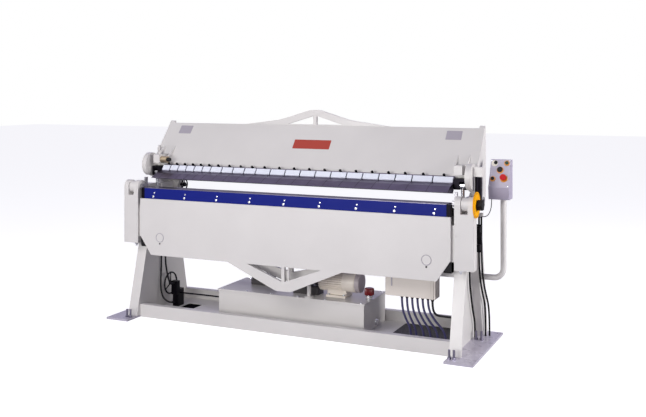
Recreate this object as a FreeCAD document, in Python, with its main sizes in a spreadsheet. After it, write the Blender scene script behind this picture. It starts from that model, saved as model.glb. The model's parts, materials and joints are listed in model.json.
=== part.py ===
"""Hydraulic sheet metal folder with segmented fingers, in millimetres.

The frame: X runs along the machine, Y from the operator to the back, Z up from the floor.
The origin is on the floor, in the middle of the four anchor holes of the foot plates.
Depths are counted from the face of the folding bar, which stands face_setback before the origin.
"""
import FreeCAD, Part
import math
import os
from types import SimpleNamespace

import Sketcher

SIZES = {
    # Main datums
    "face_setback": 245,  # origin to the face of the folding bar
    "bed_height": 1022,  # floor to the top of the bed, and to the fold line
    "fold_depth": 43,  # face of the folding bar to the fold line
    "frame_inner": 1266,  # middle of the machine to the inner face of a side frame
    "running_gap": 2,  # side clearance between parts that turn past each other
    "pin_clearance": 0.08,  # radial clearance of a pin in its bore
    "seat_clearance": 0.1,  # radial clearance of a bolt in its hole
    # Foot plates, screws and anchor holes
    "foot_width": 198,
    "foot_length": 850,
    "foot_thickness": 15,
    "anchor_spread": 1432,  # middle of the machine to an anchor hole
    "anchor_inset": 45,  # end of a foot plate to an anchor hole
    "anchor_bore": 18,
    "screw_size": 16,
    "screw_length": 78,
    "screw_nut": 24,
    "screw_nut_height": 13,
    "front_screw_x": 1286,
    "front_screw_pitch": 32,
    "front_screw_depth": -112,
    "rear_screw_x": 1330,
    "rear_screw_pitch": 39,
    "rear_screw_depth": 412,
    # Base
    "channel_height": 100,
    "channel_flange": 50,
    "channel_wall": 8,
    "front_channel_depth": -12,
    "rear_channel_depth": 620,
    "pan_height": 15,
    "pan_thickness": 6,
    "pan_hatch_inner": 770,
    "pan_hatch_outer": 1110,
    "pan_hatch_front": 236,
    "pan_hatch_back": 456,
    # Side frames
    "web_thickness": 30,
    "flange_width": 84,
    "flange_thickness": 20,
    "flange_head": 198.6,  # depth of the flange's front face at the height of the bed
    "flange_lean": 14.2,  # degrees from the vertical
    "leg_foot_front": 519,
    "leg_foot_back": 672,
    "leg_knee_front": 398,
    "leg_knee_back": 560,
    "leg_knee_height": 540,
    "leg_top_front": 361,
    "leg_top_back": 500,
    "slot_front": 200,
    "slot_back": 282,
    # Front lug and fold hinge
    "lug_front": 101,
    "lug_back": 200,
    "tongue_offset": 68,  # inner face of the frame to the tongue
    "tongue_width": 46,
    "tongue_radius": 46,
    "fold_pin_radius": 20,
    # Rear hinge of the clamp beam
    "hinge_depth": 500,
    "hinge_boss_radius": 52,
    "hinge_boss_width": 22,
    "hinge_pin_radius": 24,
    # Bed
    "bed_back": 205,
    "bed_thickness": 30,
    "blade_depth": 55,
    "blade_height": 50,
    "blade_gap": 2,  # fold line to the edge of the bed blade
    "bed_web_depth": 120,
    "bed_web_thickness": 30,
    "truss_foot_inner": 300,
    "truss_foot_outer": 470,
    "truss_thickness": 25,
    "truss_nose": 60,
    "bed_truss_rise": 50,
    # Apron
    "apron_half": 1266,
    "apron_face": -12,
    "apron_thickness": 25,
    "chamfer_foot": 1165,
    "rail_height": 40,
    "rail_depth": 42,
    "bar_half": 1233,
    "bar_thickness": 24,
    "end_block_width": 30,
    # Apron brackets
    "bracket_inner": 1290,
    "bracket_outer": 1423,
    "bracket_front": -10,
    "bracket_back": 72,
    "bracket_radius": 53,
    "slide_inner": 1238,
    "slide_thickness": 26,
    "stop_inner": 1212,
    "stop_height": 70,
    "stop_gap": 1,
    "slide_gap": 6,  # stop lug to the end of a slide
    # Rack drive of the apron
    "gear_module": 4,
    "gear_teeth": 14,
    "gear_width": 20,
    "gear_gap": 2,
    "gear_backlash": 0.3,
    "gear_pressure": 25,
    "gear_addendum": 3.2,
    "gear_dedendum": 3.8,
    "rack_thickness": 20,
    "fold_angle": 135,
    "barrel_radius": 14,
    "rack_rod_radius": 7,
    # Clamp beam
    "clamp_angle": 9.4,  # degrees from fully open to closed on the bed
    "beam_lean": 38.4,  # degrees from the vertical, open
    "beam_edge_depth": 288,  # front face of the plate where it meets the beam floor
    "beam_plate_thickness": 25,
    "beam_half": 1320,
    "beam_back": 572,
    "beam_floor_thickness": 22,
    "beam_floor_front": 286,
    "beam_rib_count": 5,
    "beam_rib_pitch": 520,
    "beam_rib_thickness": 16,
    "end_plate_thickness": 40,
    "lobe_depth": 228,
    "lobe_radius": 92,
    "ear_round": 14,
    "beam_truss_outer": 633,
    "beam_truss_rise": 122,
    "beam_truss_inside": 74,
    "beam_truss_thickness": 22,
    "beam_truss_window": 240,
    "beam_truss_post": 30,
    # Fingers
    "narrow_finger": 76.2,
    "narrow_finger_count": 6,
    "small_finger": 101.6,
    "small_finger_count": 4,
    "wide_finger": 127,
    "wide_finger_count": 10,
    "broad_finger": 152.4,
    "broad_finger_count": 2,
    "tip_setback": 10.5,  # fold line to the finger tips, closed
    "sheet_gap": 0.5,  # bed to the fingers' soles, closed
    "sole_length": 146.5,
    "knee_run": 82,
    "knee_rise": 33,
    "plate_run": 144,
    "plate_rise": 54,
    "finger_plate_length": 47,
    "finger_plate_thickness": 12,
    "finger_back": 22,
    "finger_gap": 0.4,
    # Fittings at the ends of the beam
    "cream_block_inner": 1228,
    "cream_block_width": 60,
    "cream_block_depth": 195,
    "cream_block_height": 66,
    "switch_block_depth": 205,
    "switch_block_height": 67,
    "switch_block_width": 66,
    "switch_rod_radius": 24,
    # Clamp cylinders
    "clamp_x": 1281,
    "clamp_depth": 241,
    "clamp_pin_radius": 10,
    "clamp_eye_radius": 21,
    "clamp_eye_width": 34,
    "clamp_eye_clearance": 0.7,
    "clamp_barrel_radius": 25,
    "clamp_rod_radius": 12.5,
    "clamp_cheek": 11,
    # Small welds and chamfers
    "lug_round": 30,
    "stop_chamfer": 8,
    "blade_tail": 40,
    "blade_chamfer": 15,
    "truss_round": 90,
    "truss_post": 26,
    "groove_depth": 10,
    "port_size": 24,
    "pin_overhang": 4,
    "blind_end": 10,
    "cheek_gap": 1,
    "foot_half": 29,
    "foot_base": 12,
    # Rack rods and their cylinders
    "rack_teeth_below": 2,
    "rack_teeth_above": 1,
    "rod_offset": 2,
    "rod_overlap": 60,
    "barrel_lug_drop": 150,
    "barrel_lug_height": 60,
    # Angle dial and stop knob
    "dial_radius": 88,
    "dial_thickness": 8,
    "spigot_radius": 10,
    "spigot_length": 36,
    "knob_radius": 37.5,
    "knob_core_radius": 32,
    "knob_lobe_radius": 9,
    "knob_lobes": 6,
    "knob_width": 40,
    # Beam details
    "beam_rib_back": 555,
    "end_plate_heel_depth": 320,
    "end_boss_radius": 60,
    "bow_kink": 300,
    "bow_kink_rise": 44,
    "bow_nose": 40,
    "bow_round": 500,
    "bow_nose_round": 150,
    "bow_lip": 7,
    "finger_crown": 13,
    "throat_run": 24,
    "throat_rise": 29,
    "rail_back": 330,
    "eye_inset": 9,
    "eye_width": 12,
    "eye_rise": 52,
    "eye_outer": 26,
    "eye_inner": 16,
    "hub_depth_offset": 30,
    "hub_radius": 27,
    "hub_width": 58,
    "hub_tip_radius": 10,
    "hub_tip_length": 28,
    "cheek_reach": 7,
    "cheek_chamfer": 9,
    "clamp_bracket_inner": 1222,
    "clamp_bracket_outer": 1312,
    "rod_set": 4,
    # Hydraulic unit
    "tank_left": -660,
    "tank_right": 574,
    "tank_front": 161,
    "tank_back": 616,
    "tank_top": 243,
    "lid_thickness": 12,
    "lid_lap": 8,
    "filler_x": 545,
    "filler_depth": 330,
    "filler_neck_radius": 25,
    "filler_neck_height": 32,
    "filler_spigot_radius": 12,
    "filler_spigot_length": 18,
    "cap_gap": 1,
    "cap_radius": 36,
    "cap_height": 52,
    "post_x": 112,
    "post_depth": 200,
    "post_flange_radius": 34,
    "post_flange_height": 10,
    "post_radius": 15,
    "post_height": 88,
    "motor_depth": 340,
    "motor_height": 355,
    "motor_left": 156,
    "motor_core": 70,
    "motor_radius": 78,
    "fin_count": 28,
    "cowl_left": 345,
    "cowl_width": 97,
    "cowl_radius": 76,
    "motor_cap_radius": 72,
    "motor_cap_width": 40,
    "motor_foot_left": 221,
    "motor_foot_length": 154,
    "motor_foot_half": 70,
    "motor_foot_height": 16,
    "motor_saddle_half": 45,
    "bell_flange": 14,
    "bell_length": 50,
    "bell_radius": 64,
    "pump_radius": 40,
    "pump_left": 33,
    "valves_left": -496,
    "valves_depth": 450,
    "manifold_length": 190,
    "manifold_width": 90,
    "manifold_height": 40,
    "valve_count": 3,
    "valve_inset": 12,
    "valve_pitch": 60,
    "valve_length": 46,
    "valve_width": 60,
    "valve_height": 48,
    "solenoid_reach": 70,
    "solenoid_radius": 17,
    # Handwheels and valve block
    "rim_width": 14,
    "rim_height": 10,
    "hub_wall": 8,
    "spoke_radius": 4,
    "spoke_count": 3,
    "drum_radius": 46,
    "drum_width": 41,
    "drum_blind": 12,
    "setback_radius": 47,
    "setback_shaft_radius": 10,
    "setback_reach": 28,
    "block_left": -1185,
    "block_length": 55,
    "block_depth": 320,
    "block_width": 80,
    "block_top": 160,
    "block_neck_bottom": 120,
    "neck_half": 22,
    "wheel_depth": 320,
    "wheel_height": 208,
    "valve_shaft_radius": 8,
    "valve_shaft_seat": 20,
    "valve_wheel_radius": 92,
    "valve_wheel_reach": 28,
    "tank_pipe_depth": 350,
    "tank_pipe_height": 129,
    "pipe_radius": 6,
    # Electrical box
    "box_left": 770,
    "box_length": 355,
    "box_front": 100,
    "box_width": 100,
    "box_bottom": 345,
    "gland_radius": 12,
    "inlet_radius": 14,
    "inlet_length": 18,
    "inlet_rise": 60,
    # Tubes
    "conduit_radius": 8,
    "hose_radius": 7,
    "cable_radius": 3,
    # Console
    "arm_radius": 21,
    "arm_bend": 70,
    "arm_depth": 430,
    "arm_height": 465,
    "arm_x": 1522,
    "arm_flange": 12,
    "arm_flange_width": 86,
    "arm_flange_half": 40,
    "console_left": 1430,
    "console_width": 145,
    "console_bottom": 1025,
    "console_back": 480,
    "console_tuck": 10,
    "panel_depth": 360,
    "panel_height": 1110,
    "panel_lean": 22.8,
    "panel_length": 206,
    "control_bore": 16,
    "control_gap": 0.3,
    "control_inside": 9,
    "small_control": 13,
    "large_control": 20,
    "mushroom_stem": 10,
    "mushroom_radius": 22,
    "mushroom_height": 12,
    "button_out": 6,
    "selector_out": 5,
    "mushroom_out": 12,
    "lever_width": 8,
    "lever_length": 24,
    "lever_height": 12,
    "lever_sunk": 2,
    # Limit switches
    "strip_right": 1438,
    "strip_width": 34,
    "strip_depth": 132,
    "strip_thickness": 8,
    "switch_arm_thickness": 17,
    "switch_arm_width": 30,
    "switch_depth": 24,
    "switch_height": 38,
}

# Heights that go with the top of the bed: how far above it each is
ABOVE_BED = {
    "hinge_height": -22,
    "bed_lip_bottom": -82,
    "bed_web_bottom": -516,
    "truss_bottom": -704,
    "truss_inside": -638,
    "flange_top": -54,
    "slot_bottom": -402,
    "lug_bottom": -92,
    "lug_top": 18,
    "apron_bottom": -525,
    "apron_top": -85,
    "chamfer_side": -377,
    "bar_top": -3.5,
    "end_block_bottom": -103,
    "bracket_bottom": -441,
    "bracket_slot_bottom": -62,
    "slide_top": -142,
    "stop_bottom": -466,
    "barrel_bottom": -322,
    "barrel_top": -132,
    "beam_top": 492,
    "beam_floor_height": 154,
    "lobe_height": 168,
    "ear_top": 511,
    "cream_block_bottom": 180,
    "switch_block_bottom": 173,
    "switch_rod_bottom": -18,
    "clamp_pin_height": 104,
    "clamp_foot_height": -367,
    "clamp_barrel_bottom": -336,
    "clamp_barrel_top": -117,
    "beam_rib_top": 418,
    "end_plate_foot": 142,
    "end_plate_chin": 78,
    "end_plate_heel": 42,
    "end_plate_waist": 38,
    "rail_bottom": 108,
    "clamp_rod_foot": -262,
    "strip_bottom": -332,
    "strip_top": -142,
    "switch_arm_height": -252,
    "low_switch_height": -314,
    "high_switch_height": -192,
}

# Heights that go with the hinge of the clamp beam
ABOVE_HINGE = {
    "head_top": 30,
    "leg_top": -240,
}

# Fingers from the left, by width
FINGERS = ("narrow", "small", "wide", "broad")

# Middle lines of the tubes: X, depth and height of each point
CONDUITS = {
    "conduit_0": ((864, 150, 335), (864, 150, 265), (880, 172, 180), (916, 200, 95), (916, 200, 21)),
    "conduit_1": ((902, 150, 335), (902, 150, 265), (919, 172, 180), (956, 200, 95), (956, 200, 21)),
    "conduit_2": ((940, 150, 335), (940, 150, 265), (964, 172, 180), (1011, 200, 95), (1011, 200, 21)),
    "conduit_3": ((979, 150, 335), (979, 150, 265), (1008, 172, 180), (1062, 200, 95), (1062, 200, 21)),
    "conduit_4": ((1017, 150, 335), (1017, 150, 265), (1052, 172, 180), (1114, 200, 95), (1114, 200, 21)),
    "conduit_5": ((1056, 150, 335), (1056, 150, 265), (1099, 172, 180), (1172, 200, 95), (1172, 200, 21)),
    "conduit_6": ((1098, 120, 335), (1098, 120, 275), (1132, 88, 242), (1194, 48, 250), (1266, 48, 250)),
}
HOSES = {
    "left_hose": ((-1249, 250, 450), (-1249, 250, 350), (-1247, 238, 250), (-1240, 230, 160),
                  (-1215, 232, 92), (-1158, 256, 58), (-1158, 320, 58)),
    "valve_hose": ((-1130, 135, 506), (-1130, 135, 430), (-1140, 165, 350), (-1152, 205, 275),
                   (-1158, 245, 215), (-1158, 298, 215)),
    "loom_one": ((1368, 346, 905), (1368, 346, 780), (1368, 341, 640), (1368, 364, 480), (1368, 436, 355),
                 (1368, 512, 255), (1368, 532, 135), (1368, 532, 15)),
    "loom_two": ((1385, 346, 905), (1385, 346, 780), (1388, 341, 640), (1389, 364, 480), (1390, 438, 355),
                 (1392, 518, 255), (1394, 545, 135), (1394, 545, 15)),
    "right_hose": ((1314, 298, 540), (1314, 298, 440), (1314, 334, 340), (1314, 380, 230),
                   (1314, 444, 125), (1314, 444, 15)),
}
CABLE = ((1446, 395, 1025), (1446, 395, 965), (1440, 330, 920), (1432, 262, 915), (1424, 190, 925),
         (1421, 136, 925), (1421, 136, 880))

# Console controls: X, distance up the panel, size of the stem and how far it stands out
CONTROLS = {
    "selector_switch": (1468, 183, "small_control", "selector_out"),
    "start_button": (1546, 183, "small_control", "button_out"),
    "black_button": (1501, 133, "large_control", "button_out"),
    "jog_button": (1455, 65, "small_control", "button_out"),
    "stop_mushroom": (1531, 72, "mushroom_stem", "mushroom_out"),
}


class Size:
    """A length or angle, together with the formula over the sheet that gives it."""

    def __init__(self, text, value):
        self.text = text
        self.value = value

    def __add__(self, other):
        other = sized(other)
        return Size(f"({self.text} + {other.text})", self.value + other.value)

    def __sub__(self, other):
        other = sized(other)
        return Size(f"({self.text} - {other.text})", self.value - other.value)

    def __mul__(self, other):
        other = sized(other)
        return Size(f"({self.text} * {other.text})", self.value * other.value)

    def __truediv__(self, other):
        other = sized(other)
        return Size(f"({self.text} / {other.text})", self.value / other.value)

    def __radd__(self, other):
        return sized(other) + self

    def __rsub__(self, other):
        return sized(other) - self

    def __rmul__(self, other):
        return sized(other) * self

    def __neg__(self):
        return Size(f"(0 - {self.text})", -self.value)


def sized(item):
    """Plain numbers become sizes of their own."""
    if isinstance(item, Size):
        return item
    return Size(f"({float(item)!r})", float(item))


def sine(angle):
    return Size(f"sin({angle.text})", math.sin(math.radians(angle.value)))


def cosine(angle):
    return Size(f"cos({angle.text})", math.cos(math.radians(angle.value)))


doc = FreeCAD.newDocument("SheetMetalFolder")
sheet = doc.addObject("Spreadsheet::Sheet", "Sizes")
rows = [(name, str(value)) for name, value in SIZES.items()]
for datum, rises in (("bed_height", ABOVE_BED), ("hinge_height", ABOVE_HINGE)):
    for name, rise in rises.items():
        rows.append((name + "_rise", str(rise)))
        rows.append((name, f"={datum} + {name}_rise"))
for row, (name, content) in enumerate(rows, start=1):
    sheet.set(f"A{row}", name)
    sheet.set(f"B{row}", content)
    sheet.setAlias(f"B{row}", name)
doc.recompute()


class Sizes(SimpleNamespace):
    """The sizes of the sheet, by attribute or by name."""

    def __getitem__(self, name):
        return getattr(self, name)


S = Sizes(**{name: Size(f"Sizes.{name}", float(sheet.get(name))) for name, _ in rows})
NODES = []


# Building blocks: every size that reaches an object is bound to the sheet

def bind(item, **properties):
    for name, value in properties.items():
        amount = sized(value)
        setattr(item, name, amount.value)
        item.setExpression(name, amount.text)


def place(item, x, y, z, turn=FreeCAD.Rotation()):
    """Put an item at x, depth y and height z; its own axes are turned first."""
    spot = [sized(x), sized(y) - S.face_setback, sized(z)]
    item.Placement = FreeCAD.Placement(FreeCAD.Vector(*(part.value for part in spot)), turn)
    for axis, part in zip("xyz", spot):
        item.setExpression(f"Placement.Base.{axis}", part.text)


TURNS = {
    "X": FreeCAD.Rotation(FreeCAD.Vector(0, 1, 0), 90),
    "Y": FreeCAD.Rotation(FreeCAD.Vector(1, 0, 0), -90),
    "Z": FreeCAD.Rotation(),
}


def box(name, x, y, z, length, width, height):
    item = doc.addObject("Part::Box", name)
    bind(item, Length=length, Width=width, Height=height)
    place(item, x, y, z)
    return item


def cylinder(name, x, y, z, radius, length, axis="Z"):
    item = doc.addObject("Part::Cylinder", name)
    bind(item, Radius=radius, Height=length)
    place(item, x, y, z, TURNS[axis])
    return item


def cone(name, x, y, z, radius, far_radius, length, axis="Z"):
    item = doc.addObject("Part::Cone", name)
    bind(item, Radius1=radius, Radius2=far_radius, Height=length)
    place(item, x, y, z, TURNS[axis])
    return item


def fuse(name, parts):
    item = doc.addObject("Part::MultiFuse", name)
    item.Shapes = parts
    item.Refine = True
    return item


def cut(name, base, tools):
    tool = tools[0] if len(tools) == 1 else fuse(name + "_tools", tools)
    item = doc.addObject("Part::Cut", name)
    item.Base = base
    item.Tool = tool
    item.Refine = True
    return item


def group(name, parts):
    item = doc.addObject("Part::Compound", name)
    item.Links = parts
    return item


def node(name, item):
    """The item is one of the machine's pieces, kept under this name."""
    item.Label = name
    NODES.append(item)
    return item


def origin_plane(body, role):
    return next(item for item in body.Origin.OriginFeatures if item.Role == role)


def corner_cut(before, corner, after, radius):
    """How far a rounding of this radius starts from the corner."""
    first = math.atan2(before[1] - corner[1], before[0] - corner[0])
    second = math.atan2(after[1] - corner[1], after[0] - corner[0])
    half = abs((first - second + math.pi) % (2 * math.pi) - math.pi) / 2
    return radius / math.tan(half)


def pin_point(sketch, geometry, end, spot):
    """Hold a point of the sketch at its sizes from the origin."""
    for kind, amount, axis in (("DistanceX", spot[0], -2), ("DistanceY", spot[1], -1)):
        if amount.value == 0:
            sketch.addConstraint(Sketcher.Constraint("PointOnObject", geometry, end, axis))
            continue
        rule = sketch.addConstraint(Sketcher.Constraint(kind, -1, 1, geometry, end, amount.value))
        sketch.setExpression(f"Constraints[{rule}]", amount.text)


def draw(sketch, outline, rounds):
    """A closed outline of straight sides; rounds gives the radius of the corners that have one."""
    spots = [(sized(u), sized(v)) for u, v in outline]
    places = [(u.value, v.value) for u, v in spots]
    count = len(spots)
    starts, ends = [], []
    for index, corner in enumerate(places):
        before, after = places[index - 1], places[(index + 1) % count]
        run = 0
        if index in rounds:
            run = corner_cut(before, corner, after, sized(rounds[index]).value)
        def along(other):
            length = math.dist(corner, other)
            return tuple(c + (o - c) * run / length for c, o in zip(corner, other))
        ends.append(along(before))
        starts.append(along(after))
    point = lambda spot: FreeCAD.Vector(spot[0], spot[1], 0)
    sides = [Part.LineSegment(point(starts[i]), point(ends[(i + 1) % count])) for i in range(count)]
    sketch.addGeometry(sides, False)
    for index in range(count):
        last = (index - 1) % count
        if index not in rounds:
            sketch.addConstraint(Sketcher.Constraint("Coincident", last, 2, index, 1))
            pin_point(sketch, index, 1, spots[index])
            continue
        radius = sized(rounds[index])
        corner = places[index]
        middle = FreeCAD.Vector(
            (starts[index][0] + ends[index][0]) / 2 - corner[0],
            (starts[index][1] + ends[index][1]) / 2 - corner[1], 0)
        run = math.dist(corner, starts[index])
        reach = math.hypot(run, radius.value)
        middle.normalize()
        nearest = point(corner) + middle * (reach - radius.value)
        turn = (corner[0] - ends[index][0]) * (starts[index][1] - corner[1])
        turn -= (corner[1] - ends[index][1]) * (starts[index][0] - corner[0])
        tips = [point(ends[index]), point(starts[index])]
        first, second = (1, 2) if turn > 0 else (2, 1)
        arc = sketch.addGeometry(Part.Arc(tips[first - 1], nearest, tips[second - 1]), False)
        sketch.addConstraint(Sketcher.Constraint("Tangent", last, 2, arc, first))
        sketch.addConstraint(Sketcher.Constraint("Tangent", arc, second, index, 1))
        rule = sketch.addConstraint(Sketcher.Constraint("Radius", arc, radius.value))
        sketch.setExpression(f"Constraints[{rule}]", radius.text)
        mark = sketch.addGeometry(Part.Point(point(corner)), True)
        pin_point(sketch, mark, 1, spots[index])
        sketch.addConstraint(Sketcher.Constraint("PointOnObject", mark, 1, last))
        sketch.addConstraint(Sketcher.Constraint("PointOnObject", mark, 1, index))


def prism(name, plane, outline, start, length, rounds=None, holes=()):
    """An outline in the XY, XZ or YZ plane, carried square to it from start over length."""
    body = doc.addObject("PartDesign::Body", name)
    sketch = body.newObject("Sketcher::SketchObject", name + "_outline")
    sketch.AttachmentSupport = [(origin_plane(body, plane + "_Plane"), "")]
    sketch.MapMode = "FlatFace"
    draw(sketch, outline, rounds or {})
    for u, v, radius in holes:
        u, v, radius = sized(u), sized(v), sized(radius)
        circle = Part.Circle(FreeCAD.Vector(u.value, v.value, 0), FreeCAD.Vector(0, 0, 1), radius.value)
        ring = sketch.addGeometry(circle, False)
        pin_point(sketch, ring, 3, (u, v))
        rule = sketch.addConstraint(Sketcher.Constraint("Radius", ring, radius.value))
        sketch.setExpression(f"Constraints[{rule}]", radius.text)
    pad = body.newObject("PartDesign::Pad", name + "_pad")
    pad.Profile = sketch
    bind(pad, Length=length)
    body.Tip = pad
    if plane == "YZ":
        place(body, start, 0, 0)
    elif plane == "XZ":
        place(body, 0, sized(start) + length, 0)
    else:
        place(body, 0, 0, start)
    return body


def side_start(sign, inner, width):
    """Where a piece starts along X that begins at inner on the right side, or on the left side."""
    return sized(inner) if sign > 0 else -(sized(inner) + width)


SIDES = (("left", -1), ("right", 1))


# Base: foot plates, channels, pan and levelling screws

def screw_places(sign):
    """X and depth of the levelling screws of one foot."""
    front = [(sign * (S.front_screw_x + k * S.front_screw_pitch), S.front_screw_depth) for k in (0, 1)]
    rear = [(sign * (S.rear_screw_x + k * S.rear_screw_pitch), S.rear_screw_depth) for k in (0, 1)]
    return front + rear


def make_base():
    plates = []
    for side, sign in SIDES:
        blank = box(side + "_plate_blank", side_start(sign, S.frame_inner, S.foot_width),
                    S.face_setback - S.foot_length / 2, 0, S.foot_width, S.foot_length, S.foot_thickness)
        holes = []
        for end in (-1, 1):
            holes.append(cylinder(f"{side}_anchor_bore_{end + 1}", sign * S.anchor_spread,
                                  S.face_setback + end * (S.foot_length / 2 - S.anchor_inset), 0,
                                  S.anchor_bore / 2, S.foot_thickness))
        for index, (x, depth) in enumerate(screw_places(sign)):
            holes.append(cylinder(f"{side}_screw_bore_{index}", x, depth, 0,
                                  S.screw_size / 2 + S.seat_clearance, S.foot_thickness))
        plates.append(cut(side + "_foot", blank, holes))
    node("foot_plates", group("both_foot_plates", plates))
    screws = []
    for side, sign in SIDES:
        for index, (x, depth) in enumerate(screw_places(sign)):
            shank = cylinder(f"{side}_screw_{index}", x, depth, 0, S.screw_size / 2, S.screw_length)
            nut = hexagon(f"{side}_screw_nut_{index}", x, depth, S.foot_thickness,
                          S.screw_nut, S.screw_nut_height)
            screws.append(fuse(f"{side}_levelling_screw_{index}", [shank, nut]))
    node("levelling_screws", group("all_levelling_screws", screws))
    wall = S.channel_wall
    for name, front in (("front_channel", S.front_channel_depth), ("rear_channel", S.rear_channel_depth)):
        back = front + S.channel_flange
        profile = [(front, 0), (back, 0), (back, wall), (front + wall, wall),
                   (front + wall, S.channel_height - wall), (back, S.channel_height - wall),
                   (back, S.channel_height), (front, S.channel_height)]
        node(name, prism(name + "_bar", "YZ", profile, -S.frame_inner, 2 * S.frame_inner))
    front = S.front_channel_depth + S.channel_flange
    pan = box("pan_blank", -S.frame_inner, front, S.pan_height,
              2 * S.frame_inner, S.rear_channel_depth - front, S.pan_thickness)
    hatch = S.pan_hatch_outer - S.pan_hatch_inner
    hatches = [box(f"{side}_hatch", side_start(sign, S.pan_hatch_inner, hatch), S.pan_hatch_front,
                   S.pan_height, hatch, S.pan_hatch_back - S.pan_hatch_front, S.pan_thickness)
               for side, sign in SIDES]
    node("base_pan", cut("pan_sheet", pan, hatches))


def hexagon(name, x, depth, z, width, height, axis="Z"):
    """A hexagonal head or nut, width across its flats."""
    item = doc.addObject("Part::Prism", name)
    item.Polygon = 6
    bind(item, Circumradius=sized(width) / math.sqrt(3), Height=height)
    place(item, x, depth, z, TURNS[axis])
    return item


# Side frames: flange, web, rear leg, lug with tongue, hinge boss, stop lug and cylinder foot

def flange_front(height):
    """Depth of the flange's leaning front face at a height."""
    return S.flange_head - (S.bed_height - height) * (sine(S.flange_lean) / cosine(S.flange_lean))


def frame_extras(side, sign):
    """What is welded to a frame on its own side only, and the bores that go with it."""
    inner, outer = S.frame_inner, S.frame_inner + S.web_thickness
    if sign < 0:
        drum = cylinder("setback_drum", -inner, S.hinge_depth, S.hinge_height,
                        S.drum_radius, S.drum_width, "X")
        bore = cylinder("setback_bore", -inner + S.drum_blind, S.hinge_depth, S.hinge_height,
                        S.setback_shaft_radius + S.pin_clearance, S.drum_width - S.drum_blind, "X")
        port = box("left_hose_port", -inner, HOSES["left_hose"][0][1] - S.port_size / 2,
                   HOSES["left_hose"][0][2], S.port_size + S.hose_radius, S.port_size, S.port_size)
        return [drum, port], [bore]
    first, second = HOSES["loom_one"][0], HOSES["loom_two"][0]
    clip = box("loom_clip", outer, first[1] - S.port_size / 2, first[2],
               second[0] + S.port_size / 2 - outer, S.port_size, S.port_size)
    start = HOSES["right_hose"][0]
    port = box("right_hose_port", outer, start[1] - S.port_size / 2, start[2],
               start[0] + S.port_size / 2 - outer, S.port_size, S.port_size)
    return [clip, port], []


def make_side_frames():
    floor, inner = S.foot_thickness, S.frame_inner
    skin = S.flange_thickness / cosine(S.flange_lean)
    flange_outline = [(flange_front(floor), floor), (flange_front(floor) + skin, floor),
                      (flange_front(S.flange_top) + skin, S.flange_top),
                      (flange_front(S.flange_top), S.flange_top)]
    leg_outline = [(S.leg_foot_front, floor), (S.leg_foot_back, floor),
                   (S.leg_knee_back, S.leg_knee_height), (S.leg_top_back, S.leg_top),
                   (S.leg_top_front, S.leg_top), (S.leg_knee_front, S.leg_knee_height)]
    boss = S.hinge_boss_radius
    weld = S.web_thickness / 2
    web_outline = [(flange_front(floor) + skin / 2, floor), (S.leg_foot_front + weld, floor),
                   (S.leg_knee_front + weld, S.leg_knee_height), (S.leg_top_back, S.leg_top),
                   (S.hinge_depth + boss, S.hinge_height - boss / 2),
                   (S.hinge_depth + boss / 2, S.head_top), (S.slot_back, S.head_top),
                   (S.slot_back, S.slot_bottom), (S.slot_front, S.slot_bottom),
                   (S.slot_front, S.lug_bottom), (flange_front(S.lug_bottom) + skin / 2, S.lug_bottom)]
    lug_outline = [(S.lug_front, S.lug_bottom), (S.lug_back, S.lug_bottom),
                   (S.lug_back, S.lug_top), (S.lug_front, S.lug_top)]
    stop_front = S.apron_face + S.apron_thickness + S.stop_gap
    stop_top = S.stop_bottom + S.stop_height
    stop_outline = [(stop_front, S.stop_bottom + S.stop_chamfer),
                    (stop_front + S.stop_chamfer, S.stop_bottom),
                    (flange_front(S.stop_bottom) + skin, S.stop_bottom),
                    (flange_front(stop_top) + skin, stop_top), (stop_front, stop_top)]
    for side, sign in SIDES:
        def across(name, outline, first, width, rounds=None):
            return prism(f"{side}_{name}", "YZ", outline, side_start(sign, first, width), width, rounds)
        lug_width = S.tongue_offset + S.tongue_width
        tongue = side_start(sign, inner + S.tongue_offset, S.tongue_width)
        under_tongue = S.bed_height - S.tongue_radius
        boss_width = S.web_thickness + S.hinge_boss_width
        parts = [across("flange", flange_outline, inner, S.flange_width),
                 across("leg", leg_outline, inner, S.flange_width),
                 across("web", web_outline, inner, S.web_thickness),
                 across("lug", lug_outline, inner, lug_width, {3: S.lug_round}),
                 box(side + "_tongue_bar", tongue, S.fold_depth, under_tongue,
                     S.tongue_width, S.lug_back - S.fold_depth, S.lug_top - under_tongue),
                 cylinder(side + "_tongue_end", tongue, S.fold_depth, S.bed_height,
                          S.tongue_radius, S.tongue_width, "X"),
                 cylinder(side + "_hinge_boss", side_start(sign, inner, boss_width),
                          S.hinge_depth, S.hinge_height, boss, boss_width, "X"),
                 across("stop", stop_outline, S.stop_inner, inner - S.stop_inner)]
        parts += clamp_foot(side, sign)
        bores = [cylinder(side + "_fold_bore", tongue, S.fold_depth, S.bed_height,
                          S.fold_pin_radius + S.pin_clearance, S.tongue_width, "X"),
                 cylinder(side + "_hinge_bore", side_start(sign, inner, boss_width),
                          S.hinge_depth, S.hinge_height, S.hinge_pin_radius + S.pin_clearance,
                          boss_width, "X")]
        extra_parts, extra_bores = frame_extras(side, sign)
        blank = fuse(side + "_frame_blank", parts)
        frame = cut(side + "_frame", blank, bores)
        if extra_bores:
            frame = cut(side + "_frame_bored", fuse(side + "_frame_full", [frame] + extra_parts), extra_bores)
        else:
            frame = fuse(side + "_frame_full", [frame] + extra_parts)
        node(side + "_side_frame", frame)


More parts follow.
